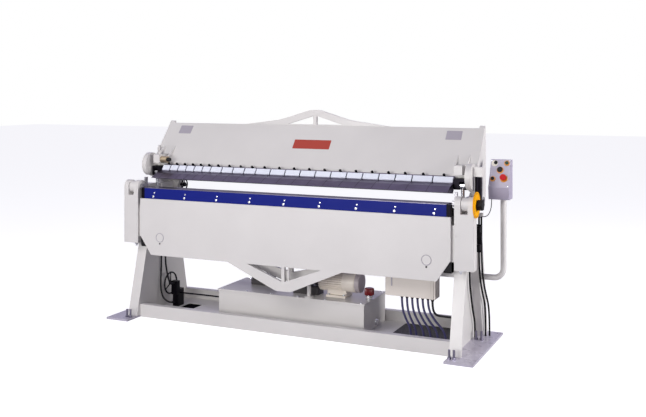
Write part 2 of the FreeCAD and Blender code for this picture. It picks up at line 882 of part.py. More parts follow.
def clamp_foot(side, sign):
    """The clevis at the bottom of the slot, with the pin that a clamp cylinder swings on."""
    half = S.clamp_eye_width / 2 + S.cheek_gap + S.clamp_cheek
    left = sign * S.clamp_x - half
    right = sign * S.clamp_x + half - S.clamp_cheek
    front = S.clamp_depth - S.foot_half
    top = S.clamp_foot_height + S.clamp_eye_radius
    return [box(side + "_foot_base", left, front, S.slot_bottom, 2 * half, 2 * S.foot_half, S.foot_base),
            box(side + "_foot_cheek_0", left, front, S.slot_bottom, S.clamp_cheek, 2 * S.foot_half,
                top - S.slot_bottom),
            box(side + "_foot_cheek_1", right, front, S.slot_bottom, S.clamp_cheek, 2 * S.foot_half,
                top - S.slot_bottom),
            cylinder(side + "_foot_pin", left, S.clamp_depth, S.clamp_foot_height, S.clamp_pin_radius,
                     2 * half, "X")]


# Bed: table, hardened blade, web and its truss

def make_bed():
    inner = S.frame_inner
    edge = S.fold_depth + S.blade_gap
    under = S.bed_height - S.bed_thickness
    step = S.bed_height - S.blade_height
    seat = edge + S.blade_depth
    tail = seat - S.blade_tail
    web_back = S.bed_web_depth + S.bed_web_thickness
    table = [(seat, S.bed_height), (S.bed_back, S.bed_height), (S.bed_back, under), (web_back, under),
             (web_back, S.bed_lip_bottom), (tail, S.bed_lip_bottom), (tail, step), (seat, step)]
    node("bed_table", prism("table_bar", "YZ", table, -inner, 2 * inner))
    blade = [(edge, S.bed_height), (seat, S.bed_height), (seat, step), (tail, step),
             (edge, step + S.blade_chamfer)]
    node("bed_blade", prism("blade_bar", "YZ", blade, -S.bar_half, 2 * S.bar_half))
    web = box("bed_web_plate", -inner, S.bed_web_depth, S.bed_web_bottom, 2 * inner,
              S.bed_web_thickness, S.bed_lip_bottom - S.bed_web_bottom)
    braces = truss("bed_truss", S.bed_web_depth, S.truss_thickness, S.bed_web_bottom,
                   S.truss_bottom + S.bed_truss_rise, S.truss_inside + S.bed_truss_rise)
    node("bed_web", fuse("bed_web_and_truss", [web] + braces))


def truss(name, depth, thickness, top, bottom, inside):
    """A V of flat bar below an edge, and the post in its middle."""
    outer, inner, nose = S.truss_foot_outer, S.truss_foot_inner, S.truss_nose
    outline = [(-outer, top), (-nose, bottom), (nose, bottom), (outer, top), (inner, top),
               (0, inside), (-inner, top)]
    bar = prism(name + "_bar", "XZ", outline, depth, thickness, {1: S.truss_round, 2: S.truss_round})
    foot = inside - S.truss_post / 2
    post = box(name + "_post", -S.truss_post / 2, depth, foot, S.truss_post, thickness, top - foot)
    return [bar, post]


# Apron: plate with rail, slides and truss, folding bar and blade, end blocks

def slide_foot():
    """Height at which the slides end, just above the stop lugs."""
    return S.stop_bottom + S.stop_height + S.slide_gap


def make_apron():
    face, thick = S.apron_face, S.apron_thickness
    half, foot = S.apron_half, S.chamfer_foot
    outline = [(-half, S.chamfer_side), (-foot, S.apron_bottom), (foot, S.apron_bottom),
               (half, S.chamfer_side), (half, S.apron_top), (-half, S.apron_top)]
    back = face + thick
    bar = S.bar_half
    slide_width = S.bracket_inner + S.groove_depth - S.slide_inner
    welded = [prism("apron_sheet", "XZ", outline, face, thick),
              box("apron_rail", -bar, back, S.apron_top - S.rail_height, 2 * bar,
                  S.rail_depth - back, S.rail_height)]
    welded += truss("apron_truss", face, thick, S.apron_bottom, S.truss_bottom, S.truss_inside)
    for side, sign in SIDES:
        welded.append(box(side + "_slide", side_start(sign, S.slide_inner, slide_width), back,
                          slide_foot(), slide_width, S.slide_thickness, S.slide_top - slide_foot()))
    node("apron_plate", fuse("apron_weldment", welded))
    node("folding_bar", box("bar_blank", -bar, 0, S.apron_top, 2 * bar, S.bar_thickness,
                            S.bar_top - S.apron_top))
    top = S.bed_height
    blade = [(0, S.bar_top), (S.bar_thickness, S.bar_top), (S.bar_thickness, S.apron_top),
             (S.rail_depth, S.apron_top), (S.rail_depth, top), (0, top)]
    node("folding_blade", prism("blade_angle", "YZ", blade, -bar, 2 * bar))
    block_top = S.bed_height - S.running_gap
    block = [(0, S.apron_top), (back, S.apron_top), (back, S.end_block_bottom),
             (S.rail_depth, S.end_block_bottom), (S.rail_depth, block_top), (0, block_top)]
    node("bar_end_blocks", group("both_bar_end_blocks", [
        prism(side + "_bar_end_block", "YZ", block, side_start(sign, bar, S.end_block_width),
              S.end_block_width) for side, sign in SIDES]))


# Apron brackets: clevises that carry the apron on the fold hinge

def make_brackets():
    inner, outer = S.bracket_inner, S.bracket_outer
    width = outer - inner
    depth, height = S.fold_depth, S.bed_height
    back = S.apron_face + S.apron_thickness
    slot_width = S.tongue_width + 2 * S.running_gap
    body_outline = [(S.bracket_front, S.bracket_bottom), (S.bracket_back, S.bracket_bottom),
                    (S.bracket_back, height), (S.bracket_front, height)]
    reach = 2 * S.bracket_radius
    for side, sign in SIDES:
        start = side_start(sign, inner, width)
        block = prism(side + "_bracket_block", "YZ", body_outline, start, width)
        head = cylinder(side + "_bracket_head", start, depth, height, S.bracket_radius, width, "X")
        blank = fuse(side + "_bracket_blank", [block, head])
        slot_inner = S.frame_inner + S.tongue_offset - S.running_gap
        slot = box(side + "_bracket_slot", side_start(sign, slot_inner, slot_width),
                   depth - reach, S.bracket_slot_bottom, slot_width, 2 * reach, 2 * reach)
        bore = cylinder(side + "_bracket_bore", start, depth, height,
                        S.fold_pin_radius + S.pin_clearance, width, "X")
        groove = box(side + "_slide_groove", side_start(sign, inner, S.groove_depth), back, slide_foot(),
                     S.groove_depth, S.slide_thickness, S.slide_top - slide_foot())
        node(side + "_apron_bracket", cut(side + "_bracket", blank, [slot, bore, groove]))


# Rack drive of the apron: a pinion on each fold shaft, a rack rod and its cylinder

def gear_flank(pitch_radius, side, tooth_angle):
    """Points of an involute flank from the root to the tip of a tooth."""
    pressure = math.radians(S.gear_pressure.value)
    base = pitch_radius * math.cos(pressure)
    root = pitch_radius - S.gear_dedendum.value
    tip = pitch_radius + S.gear_addendum.value
    thick = math.pi * S.gear_module.value / 2 - S.gear_backlash.value / 2
    half = thick / (2 * pitch_radius) + math.tan(pressure) - pressure
    points = [(root, tooth_angle + side * half)]
    for step in range(4):
        radius = base + (tip - base) * step / 3
        tangent = math.sqrt(max((radius / base) ** 2 - 1, 0))
        points.append((radius, tooth_angle + side * (half - tangent + math.atan(tangent))))
    return points


def extruded(name, ring, x, depth, z, width):
    """A flat outline of (depth, height) points, carried along X from x over width."""
    item = doc.addObject("Part::Feature", name)
    corners = [FreeCAD.Vector(0, along, up) for along, up in ring]
    face = Part.Face(Part.makePolygon(corners + corners[:1]))
    item.Shape = face.extrude(FreeCAD.Vector(sized(width).value, 0, 0))
    place(item, x, depth, z)
    return item


def make_drive():
    pitch_radius = S.gear_module * S.gear_teeth / 2
    teeth = int(S.gear_teeth.value)
    width = S.gear_width
    outline = []
    for tooth in range(teeth):
        angle = 2 * math.pi * tooth / teeth
        outline += gear_flank(pitch_radius.value, -1, angle)
        outline += reversed(gear_flank(pitch_radius.value, 1, angle))
    ring = [(r * math.cos(a), r * math.sin(a)) for r, a in outline]
    stroke = pitch_radius * S.fold_angle * (math.pi / 180)
    step = math.pi * S.gear_module.value
    low, high = -S.rack_teeth_below.value, int(stroke.value / step) + S.rack_teeth_above.value
    slope = math.tan(math.radians(S.gear_pressure.value))
    half = step / 4 - S.gear_backlash.value / 4
    tip, root, back = -S.gear_addendum.value, S.gear_dedendum.value, S.rack_thickness.value
    rack_ring = [(back, (low - 0.5) * step), (root, (low - 0.5) * step)]
    for index in range(int(low), int(high)):
        middle = (index + 0.5) * step
        for depth, away in ((root, -1), (tip, -1), (tip, 1), (root, 1)):
            rack_ring.append((depth, middle + away * (half + depth * slope)))
    rack_ring += [(root, high * step), (back, high * step)]
    gear_inner = S.bracket_inner - S.gear_gap - width
    pitch_line = S.fold_depth + pitch_radius
    rod_depth = pitch_line + S.rack_thickness / 2 + S.rod_offset
    rod_top = S.bed_height + (low - 0.5) * step
    rod_bottom = S.barrel_top - S.rod_overlap
    lug_foot = S.barrel_top - S.barrel_lug_drop
    lug_head = lug_foot + S.barrel_lug_height
    lug_outline = [(rod_depth, lug_foot), (flange_front(lug_foot), lug_foot),
                   (flange_front(lug_head), lug_head), (rod_depth, lug_head)]
    barrels, shafts = [], []
    for side, sign in SIDES:
        start = side_start(sign, gear_inner, width)
        rod_x = sign * (gear_inner + width / 2)
        rack = extruded(side + "_rack_teeth", rack_ring, start, pitch_line, S.bed_height, width)
        rod = cylinder(side + "_rack_bar", rod_x, rod_depth, rod_bottom, S.rack_rod_radius,
                       rod_top - rod_bottom)
        node(side + "_rack_rod", fuse(side + "_rack", [rack, rod]))
        barrel = cylinder(side + "_barrel_tube", rod_x, rod_depth, S.barrel_bottom, S.barrel_radius,
                          S.barrel_top - S.barrel_bottom)
        lug = prism(side + "_barrel_lug", "YZ", lug_outline, start, width)
        bore = cylinder(side + "_barrel_bore", rod_x, rod_depth, rod_bottom - stroke - S.blind_end,
                        S.rack_rod_radius + S.pin_clearance, S.barrel_top)
        barrels.append(cut(side + "_rack_barrel", fuse(side + "_barrel", [barrel, lug]), [bore]))
        pinion = extruded(side + "_pinion_teeth", ring, start, S.fold_depth, S.bed_height, width)
        length = S.bracket_outer + S.pin_overhang - gear_inner
        shaft = [pinion]
        if sign > 0:
            length = dial_start() + S.dial_thickness - gear_inner
            shaft.append(cylinder("knob_spigot", gear_inner + length, S.fold_depth, S.bed_height,
                                  S.spigot_radius, S.spigot_length, "X"))
        shaft.append(cylinder(side + "_fold_pin", side_start(sign, gear_inner, length),
                              S.fold_depth, S.bed_height, S.fold_pin_radius, length, "X"))
        shafts.append(fuse(side + "_fold_shaft", shaft))
    node("rack_cylinders", group("both_rack_cylinders", barrels))
    node("fold_shafts", group("both_fold_shafts", shafts))
    print("rack stroke", round(stroke.value, 2), "ratio", round(pitch_radius.value / 1000, 4), "m per rad")


# Angle dial and stop knob on the right fold shaft

def dial_start():
    return S.bracket_outer + S.running_gap


def make_dial():
    disc = cylinder("dial_disc", dial_start(), S.fold_depth, S.bed_height, S.dial_radius,
                    S.dial_thickness, "X")
    bore = cylinder("dial_bore", dial_start(), S.fold_depth, S.bed_height,
                    S.fold_pin_radius + S.pin_clearance, S.dial_thickness, "X")
    node("angle_dial", cut("dial", disc, [bore]))
    start = dial_start() + S.dial_thickness + S.running_gap
    parts = [cylinder("knob_core", start, S.fold_depth, S.bed_height, S.knob_core_radius, S.knob_width, "X")]
    for index in range(int(S.knob_lobes.value)):
        angle = 2 * math.pi * index / S.knob_lobes.value
        ring = S.knob_radius - S.knob_lobe_radius
        parts.append(cylinder(f"knob_lobe_{index}", start, S.fold_depth + ring * math.cos(angle),
                              S.bed_height + ring * math.sin(angle), S.knob_lobe_radius, S.knob_width, "X"))
    bore = cylinder("knob_bore", start, S.fold_depth, S.bed_height, S.spigot_radius + S.pin_clearance,
                    S.spigot_length, "X")
    node("stop_knob", cut("knob", fuse("knob_blank", parts), [bore]))


# Clamp beam, drawn fully open

def opened(depth, height):
    """Where a point of the closed beam stands when the beam is open."""
    run = depth - S.hinge_depth
    rise = height - S.hinge_height
    across, along = sine(S.clamp_angle), cosine(S.clamp_angle)
    return (S.hinge_depth + run * along + rise * across, S.hinge_height - run * across + rise * along)


def floor_top():
    return S.beam_floor_height + S.beam_floor_thickness


def beam_face(height):
    """Depth of the beam's leaning front face at a height."""
    return S.beam_edge_depth + (height - floor_top()) * (sine(S.beam_lean) / cosine(S.beam_lean))


def make_beam():
    skin = S.beam_plate_thickness / cosine(S.beam_lean)
    half, base = S.beam_half, floor_top()
    face = [(beam_face(base), base), (beam_face(base) + skin, base),
            (beam_face(S.beam_top) + skin, S.beam_top), (beam_face(S.beam_top), S.beam_top)]
    node("beam_plate", prism("beam_face_plate", "YZ", face, -half, 2 * half))
    welded = [box("beam_floor_plate", -half, S.beam_floor_front, S.beam_floor_height, 2 * half,
                  S.beam_back - S.beam_floor_front, S.beam_floor_thickness)]
    rib = [(beam_face(base) + skin, base), (S.beam_rib_back, base),
           (beam_face(S.beam_rib_top) + skin, S.beam_rib_top)]
    middle = (S.beam_rib_count - 1) / 2
    for index in range(int(S.beam_rib_count.value)):
        start = (index - middle) * S.beam_rib_pitch - S.beam_rib_thickness / 2
        welded.append(prism(f"beam_rib_{index}", "YZ", rib, start, S.beam_rib_thickness))
    node("beam_floor", fuse("beam_floor_and_ribs", welded))
    edge = S.end_plate_foot
    outline = [(beam_face(edge), edge), (S.lobe_depth, S.lobe_height), (S.lobe_depth, S.end_plate_chin),
               (S.end_plate_heel_depth, S.end_plate_heel),
               (S.hinge_depth, S.hinge_height - S.end_boss_radius),
               (S.hinge_depth + S.end_boss_radius, S.hinge_height), (S.beam_back, S.end_plate_waist),
               (S.beam_back, S.ear_top), (beam_face(S.ear_top), S.ear_top)]
    thick = S.end_plate_thickness
    plates, pins = [], []
    for side, sign in SIDES:
        start = side_start(sign, half, thick)
        blank = fuse(side + "_end_blank", [
            prism(side + "_end_sheet", "YZ", outline, start, thick, {8: S.ear_round}),
            cylinder(side + "_lobe", start, S.lobe_depth, S.lobe_height, S.lobe_radius, thick, "X"),
            cylinder(side + "_end_boss", start, S.hinge_depth, S.hinge_height,
                     S.end_boss_radius, thick, "X")])
        bore = cylinder(side + "_end_bore", start, S.hinge_depth, S.hinge_height,
                        S.hinge_pin_radius + S.pin_clearance, thick, "X")
        plates.append(cut(side + "_end_plate", blank, [bore]))
        length = half + thick + S.pin_overhang - S.frame_inner
        pins.append(cylinder(side + "_hinge_pin", side_start(sign, S.frame_inner, length),
                             S.hinge_depth, S.hinge_height, S.hinge_pin_radius, length, "X"))
    node("beam_end_plates", group("both_beam_end_plates", plates))
    node("hinge_pins", group("both_hinge_pins", pins))
    top, outer = S.beam_top, S.beam_truss_outer
    bow = [(-outer, top), (outer, top), (S.bow_kink, top + S.bow_kink_rise),
           (S.bow_nose, top + S.beam_truss_rise), (-S.bow_nose, top + S.beam_truss_rise),
           (-S.bow_kink, top + S.bow_kink_rise)]
    depth = beam_face(top) + (skin - S.beam_truss_thickness) / 2
    plate = prism("bow_plate", "XZ", bow, depth, S.beam_truss_thickness,
                  {2: S.bow_round, 3: S.bow_nose_round, 4: S.bow_nose_round, 5: S.bow_round})
    windows = []
    post, lip = S.beam_truss_post / 2, top + S.bow_lip
    peak = top + S.beam_truss_inside
    for side, sign in SIDES:
        opening = [(sign * post, lip), (sign * S.beam_truss_window, lip), (sign * post, peak)]
        windows.append(prism(f"{side}_bow_window", "XZ", opening, depth, S.beam_truss_thickness))
    node("beam_truss", cut("bow", plate, windows))


# Fingers: each with its own plate, all held by one rail

def finger_edges():
    """X of the borders between the fingers, from the left."""
    widths = []
    for kind in FINGERS:
        widths += [S[kind + "_finger"]] * SIZES[kind + "_finger_count"]
    total = sum((width for width in widths[1:]), widths[0])
    edges = [-total / 2]
    for width in widths:
        edges.append(edges[-1] + width)
    return edges


def make_fingers():
    tip = opened(S.fold_depth + S.tip_setback, S.bed_height + S.sheet_gap)
    heel = opened(S.fold_depth + S.tip_setback + S.sole_length, S.bed_height + S.sheet_gap)
    across, along = sine(S.beam_lean), cosine(S.beam_lean)
    def shifted(spot, up, inward):
        return (spot[0] + up * across + inward * along, spot[1] + up * along - inward * across)
    knee = (tip[0] + S.knee_run, tip[1] + S.knee_rise)
    foot = (tip[0] + S.plate_run, tip[1] + S.plate_rise)
    thick, length = S.finger_plate_thickness, S.finger_plate_length
    seat = shifted(foot, 0, thick)
    crown = shifted(seat, length + S.finger_crown, 0)
    nape = shifted(crown, 0, S.finger_back)
    throat = (heel[0] + S.throat_run, heel[1] + S.throat_rise)
    body = [tip, heel, throat, nape, crown, seat, knee]
    cover = [foot, seat, shifted(seat, length, 0), shifted(foot, length, 0)]
    edges = finger_edges()
    bodies, covers = [], []
    gap = S.finger_gap
    for index, (left, right) in enumerate(zip(edges, edges[1:])):
        start, width = left + gap / 2, right - left - gap
        bodies.append(prism(f"finger_{index}", "YZ", body, start, width))
        covers.append(prism(f"finger_plate_{index}", "YZ", cover, start, width))
    node("fingers", group("all_fingers", bodies))
    node("finger_plates", group("all_finger_plates", covers))
    under = S.beam_floor_height
    rail = [throat, (S.rail_back, S.rail_bottom), (S.rail_back, under), (S.beam_floor_front, under), nape]
    node("finger_rail", prism("finger_rail_bar", "YZ", rail, edges[0], edges[-1] - edges[0]))


# Fittings at the ends of the beam

def make_beam_fittings():
    bottom, top = S.cream_block_bottom, S.cream_block_bottom + S.cream_block_height
    front = S.cream_block_depth
    block = [(front, bottom), (beam_face(bottom), bottom), (beam_face(top), top), (front, top)]
    blocks = []
    for side, sign in SIDES:
        start = side_start(sign, S.cream_block_inner, S.cream_block_width)
        blocks.append(prism(side + "_cream_block", "YZ", block, start, S.cream_block_width))
    eye_x = -(S.cream_block_inner + S.eye_inset)
    eye_height = top + S.eye_rise
    eye_depth = front + S.eye_outer
    ring = cylinder("eye_disc", eye_x - S.eye_width, eye_depth, eye_height, S.eye_outer, S.eye_width, "X")
    hole = cylinder("eye_hole", eye_x - S.eye_width, eye_depth, eye_height, S.eye_inner, S.eye_width, "X")
    stem = box("eye_stem", eye_x - S.eye_width, eye_depth - S.eye_width / 2, top, S.eye_width,
               S.eye_width, S.eye_rise - S.eye_inner)
    blocks[0] = fuse("left_block_with_eye", [blocks[0], cut("eye", fuse("eye_blank", [ring, stem]), [hole])])
    node("beam_end_blocks", group("both_beam_end_blocks", blocks))
    hub_depth, hub_height = front + S.hub_depth_offset, bottom + S.hub_radius
    hub = [cylinder("hub_body", -S.cream_block_inner, hub_depth, hub_height, S.hub_radius, S.hub_width, "X"),
           cylinder("hub_tip", -S.cream_block_inner + S.hub_width, hub_depth, hub_height,
                    S.hub_tip_radius, S.hub_tip_length, "X")]
    node("brass_fitting", fuse("hub", hub))
    under = S.beam_floor_height
    reach = S.clamp_eye_radius + S.cheek_reach
    front, low = S.clamp_depth - reach, S.clamp_pin_height - reach
    outline = [(front, under), (front, low + S.cheek_chamfer), (front + S.cheek_chamfer, low),
               (S.clamp_depth + reach, low), (S.rail_back, S.rail_bottom), (S.rail_back, under)]
    width = S.clamp_bracket_outer - S.clamp_bracket_inner
    slot_width = S.clamp_eye_width + 2 * S.cheek_gap
    brackets = []
    for side, sign in SIDES:
        block = prism(side + "_clamp_block", "YZ", outline,
                      side_start(sign, S.clamp_bracket_inner, width), width)
        slot = box(side + "_clamp_slot", sign * S.clamp_x - slot_width / 2, front, low,
                   slot_width, 2 * reach, 2 * reach)
        pin = cylinder(side + "_clamp_pin", side_start(sign, S.clamp_bracket_inner, width), S.clamp_depth,
                       S.clamp_pin_height, S.clamp_pin_radius, width, "X")
        brackets.append(fuse(side + "_clamp_bracket", [cut(side + "_clamp_fork", block, [slot]), pin]))
    node("clamp_rod_brackets", group("both_clamp_brackets", brackets))
    outer = S.beam_half + S.end_plate_thickness
    node("switch_block", box("switch_block_body", outer, S.switch_block_depth, S.switch_block_bottom,
                             S.switch_block_width, 2 * (S.lobe_depth + S.rod_set - S.switch_block_depth),
                             S.switch_block_height))
    node("switch_rod", cylinder("switch_rod_bar", outer + S.switch_block_width / 2, S.lobe_depth + S.rod_set,
                                S.switch_rod_bottom, S.switch_rod_radius,
                                S.switch_block_bottom - S.switch_rod_bottom))


# Clamp cylinders: a barrel that swings on the frame and a rod that pulls the beam down

def make_clamp_cylinders():
    x, depth = S.clamp_x, S.clamp_depth
    eye_width, eye = S.clamp_eye_width, S.clamp_eye_radius
    closed = opened_distance(S.clamp_angle.value)
    stroke = opened_distance(0) - closed
    swing = closed_lean(S.clamp_angle.value)
    print("clamp rod stroke", round(stroke, 2), "swing", round(math.degrees(swing), 3), "degrees",
          "ratios", round(-stroke / 1000 / math.radians(S.clamp_angle.value), 4),
          round(swing / math.radians(S.clamp_angle.value), 4))
    for side, sign in SIDES:
        left = sign * x - eye_width / 2
        foot_eye = cylinder(side + "_foot_eye", left, depth, S.clamp_foot_height, eye, eye_width, "X")
        neck = cylinder(side + "_neck", sign * x, depth, S.clamp_foot_height, S.clamp_rod_radius,
                        S.clamp_barrel_bottom - S.clamp_foot_height)
        tube_body = cylinder(side + "_clamp_tube", sign * x, depth, S.clamp_barrel_bottom,
                             S.clamp_barrel_radius, S.clamp_barrel_top - S.clamp_barrel_bottom)
        rod_foot = S.clamp_rod_foot
        foot_bore = cylinder(side + "_foot_eye_bore", left, depth, S.clamp_foot_height,
                             S.clamp_pin_radius + S.pin_clearance, eye_width, "X")
        bore = cylinder(side + "_clamp_bore", sign * x, depth, rod_foot - stroke - S.blind_end,
                        S.clamp_rod_radius + S.pin_clearance, S.clamp_barrel_top)
        node(side + "_clamp_barrel", cut(side + "_clamp_barrel_bored",
                                         fuse(side + "_clamp_barrel_blank", [foot_eye, neck, tube_body]),
                                         [foot_bore, bore]))
        rod_eye = cylinder(side + "_rod_eye", left, depth, S.clamp_pin_height, eye, eye_width, "X")
        rod = cylinder(side + "_clamp_bar", sign * x, depth, rod_foot, S.clamp_rod_radius,
                       S.clamp_pin_height - rod_foot)
        eye_bore = cylinder(side + "_rod_eye_bore", left, depth, S.clamp_pin_height,
                            S.clamp_pin_radius + S.clamp_eye_clearance, eye_width, "X")
        node(side + "_clamp_rod", cut(side + "_clamp_rod_bored",
                                      fuse(side + "_clamp_rod_blank", [rod, rod_eye]), [eye_bore]))


def clamp_pin_at(angle):
    """Depth and height of the upper pin from the lower one, with the beam turned down by an angle."""
    turn = math.radians(angle)
    run = S.clamp_depth.value - S.hinge_depth.value
    rise = S.clamp_pin_height.value - S.hinge_height.value
    depth = S.hinge_depth.value + run * math.cos(turn) - rise * math.sin(turn)
    height = S.hinge_height.value + run * math.sin(turn) + rise * math.cos(turn)
    return depth - S.clamp_depth.value, height - S.clamp_foot_height.value


def opened_distance(angle):
    return math.hypot(*clamp_pin_at(angle))


def closed_lean(angle):
    depth, height = clamp_pin_at(angle)
    return math.atan2(-depth, height)


# Hydraulic unit: tank, lid, motor, pump, valves and filler cap

def make_hydraulics():
    floor = S.pan_height + S.pan_thickness
    lid_bottom = S.tank_top - S.lid_thickness
    lap = S.lid_lap
    length, width = S.tank_right - S.tank_left, S.tank_back - S.tank_front
    node("oil_tank", box("tank_body", S.tank_left + lap, S.tank_front + lap, floor, length - 2 * lap,
                         width - 2 * lap, lid_bottom - floor))
    lid = [box("lid_sheet", S.tank_left, S.tank_front, lid_bottom, length, width, S.lid_thickness),
           cylinder("filler_neck", S.filler_x, S.filler_depth, S.tank_top, S.filler_neck_radius,
                    S.filler_neck_height),
           cylinder("filler_spigot", S.filler_x, S.filler_depth, S.tank_top, S.filler_spigot_radius,
                    S.filler_neck_height + S.filler_spigot_length),
           cylinder("post_flange", S.post_x, S.post_depth, S.tank_top,
                    S.post_flange_radius, S.post_flange_height),
           cylinder("post", S.post_x, S.post_depth, S.tank_top, S.post_radius, S.post_height)]
    node("tank_lid", fuse("lid", lid))
    cap_bottom = S.tank_top + S.filler_neck_height + S.cap_gap
    cap = cylinder("cap_body", S.filler_x, S.filler_depth, cap_bottom, S.cap_radius, S.cap_height)
    bore = cylinder("cap_bore", S.filler_x, S.filler_depth, cap_bottom,
                    S.filler_spigot_radius + S.pin_clearance, S.filler_spigot_length)
    node("filler_cap", cut("cap", cap, [bore]))
    depth, z = S.motor_depth, S.motor_height
    fins = int(S.fin_count.value)
    pitch = 2 * math.pi / fins
    ring = []
    for index in range(fins):
        for share, radius in ((-0.3, S.motor_core), (-0.2, S.motor_radius), (0.2, S.motor_radius),
                              (0.3, S.motor_core)):
            angle = (index + share) * pitch
            ring.append((radius.value * math.cos(angle), radius.value * math.sin(angle)))
    body = [extruded("motor_fins", ring, S.motor_left, depth, z, S.cowl_left - S.motor_left),
            cylinder("motor_cowl", S.cowl_left, depth, z, S.cowl_radius, S.cowl_width, "X"),
            cylinder("motor_cap", S.cowl_left + S.cowl_width, depth, z, S.motor_cap_radius,
                     S.motor_cap_width, "X"),
            box("motor_feet", S.motor_foot_left, depth - S.motor_foot_half, S.tank_top, S.motor_foot_length,
                2 * S.motor_foot_half, S.motor_foot_height),
            box("motor_saddle", S.motor_foot_left, depth - S.motor_saddle_half, S.tank_top,
                S.motor_foot_length, 2 * S.motor_saddle_half, z - S.motor_core / 2 - S.tank_top)]
    node("pump_motor", fuse("motor", body))
    bell = [cylinder("bell_flange", S.motor_left - S.bell_flange, depth, z, S.motor_core, S.bell_flange, "X"),
            cone("bell_cone", S.motor_left - S.bell_flange - S.bell_length, depth, z, S.pump_radius,
                 S.bell_radius, S.bell_length, "X"),
            cylinder("pump_body", S.pump_left, depth, z, S.pump_radius,
                     S.motor_left - S.bell_flange - S.bell_length - S.pump_left, "X")]
    node("hydraulic_pump", fuse("pump", bell))
    base = box("manifold", S.valves_left, S.valves_depth - S.manifold_width / 2, S.tank_top,
               S.manifold_length, S.manifold_width, S.manifold_height)
    stack = [base]
    for index in range(int(S.valve_count.value)):
        left = S.valves_left + S.valve_inset + index * S.valve_pitch
        height = S.tank_top + S.manifold_height
        stack.append(box(f"valve_{index}", left, S.valves_depth - S.valve_width / 2, height,
                         S.valve_length, S.valve_width, S.valve_height))
        stack.append(cylinder(f"solenoid_{index}", left + S.valve_length / 2,
                              S.valves_depth - S.solenoid_reach, height + S.valve_height / 2,
                              S.solenoid_radius, 2 * S.solenoid_reach, "Y"))
    node("valve_stack", fuse("valves", stack))


def spoked_wheel(name, x, depth, z, radius, shaft_start, shaft_radius, shaft_length):
    """A handwheel square to X: rim, hub, three spokes and the shaft behind it."""
    rim = cut(name + "_rim", cylinder(name + "_disc", x, depth, z, radius, S.rim_width, "X"),
              [cylinder(name + "_hollow", x, depth, z, radius - S.rim_height, S.rim_width, "X")])
    parts = [rim, cylinder(name + "_hub", x, depth, z, shaft_radius + S.hub_wall, S.rim_width, "X"),
             cylinder(name + "_shaft", shaft_start, depth, z, shaft_radius, shaft_length, "X")]
    for index in range(int(S.spoke_count.value)):
        spoke = cylinder(f"{name}_spoke_{index}", 0, 0, 0, S.spoke_radius, radius - S.rim_height / 2)
        turn = FreeCAD.Rotation(FreeCAD.Vector(1, 0, 0), 360 * (index + 0.5) / S.spoke_count.value)
        place(spoke, x + S.rim_width / 2, depth, z, turn)
        parts.append(spoke)
    return fuse(name + "_wheel", parts)


def make_wheels():
    drum_face = -S.frame_inner + S.drum_width
    start = -S.frame_inner + S.drum_blind + S.running_gap
    rim = drum_face + S.setback_reach
    node("setback_handwheel", spoked_wheel("setback", rim, S.hinge_depth, S.hinge_height, S.setback_radius,
                                           start, S.setback_shaft_radius, rim + S.rim_width - start))
    left, depth = S.block_left, S.block_depth
    neck_front = S.wheel_depth - S.neck_half
    body = box("block_body", left, depth, S.pan_height + S.pan_thickness, S.block_length, S.block_width,
               S.block_top - S.pan_height - S.pan_thickness)
    neck = box("block_neck", left, neck_front, S.block_neck_bottom, S.block_length, 2 * S.neck_half,
               S.wheel_height + S.neck_half - S.block_neck_bottom)
    pipe = cylinder("tank_pipe", left + S.block_length, S.tank_pipe_depth, S.tank_pipe_height,
                    S.pipe_radius, S.tank_left + S.lid_lap - left - S.block_length, "X")
    bore = cylinder("valve_bore", left, S.wheel_depth, S.wheel_height, S.valve_shaft_radius + S.pin_clearance,
                    S.valve_shaft_seat + S.running_gap, "X")
    node("valve_block", cut("block", fuse("block_blank", [body, neck, pipe]), [bore]))
    rim = left - S.valve_wheel_reach
    node("valve_handwheel", spoked_wheel("valve", rim, S.wheel_depth, S.wheel_height, S.valve_wheel_radius,
                                         rim, S.valve_shaft_radius, left + S.valve_shaft_seat - rim))


# Electrical box with its glands

def make_electrical_box():
    bottom = S.box_bottom
    parts = [box("box_body", S.box_left, S.box_front, bottom, S.box_length, S.box_width,
                 S.bed_web_bottom - bottom)]
    for name, (x, depth, height) in ((name, points[0]) for name, points in CONDUITS.items()):
        parts.append(cylinder(name + "_gland", x, depth, height, S.gland_radius, bottom - height))
    parts.append(cylinder("inlet_gland", S.box_left - S.inlet_length, S.box_front + S.box_width / 2,
                          bottom + S.inlet_rise, S.inlet_radius, S.inlet_length, "X"))
    node("electrical_box", fuse("box_with_glands", parts))


# Tubes: straight runs joined by arcs that touch them

def tube(name, points, radius, bend=None):
    """A round tube along its points; the arcs are as wide as the shorter run beside them allows."""
    spots = [FreeCAD.Vector(*spot) for spot in points]
    radius = sized(radius)
    edges, at, sharpest = [], spots[0], 1e9
    for before, corner, after in zip(spots, spots[1:], spots[2:]):
        back, ahead = before - corner, after - corner
        half_turn = (math.pi - back.getAngle(ahead)) / 2
        run = 0.45 * min(back.Length, ahead.Length)
        if bend is not None:
            run = bend.value * math.tan(half_turn)
        arc_radius = run / math.tan(half_turn)
        sharpest = min(sharpest, arc_radius)
        back.normalize()
        ahead.normalize()
        first, last = corner + back * run, corner + ahead * run
        middle = back + ahead
        middle.normalize()
        nearest = corner + middle * (arc_radius / math.cos(half_turn) - arc_radius)
        edges += [Part.makeLine(at, first), Part.Arc(first, nearest, last).toShape()]
        at = last
    edges.append(Part.makeLine(at, spots[-1]))
    wire = Part.Wire(edges)
    ring = Part.Wire(Part.makeCircle(radius.value, spots[0], spots[1] - spots[0]))
    item = doc.addObject("Part::Feature", name)
    item.Shape = wire.makePipeShell([ring], True, False)
    place(item, 0, 0, 0)
    due = math.pi * radius.value ** 2 * wire.Length
    print(f"{name}: length {wire.Length:.0f}, smallest arc {sharpest:.0f}, "
          f"volume {item.Shape.Volume / due:.4f} of the due one")
    return item


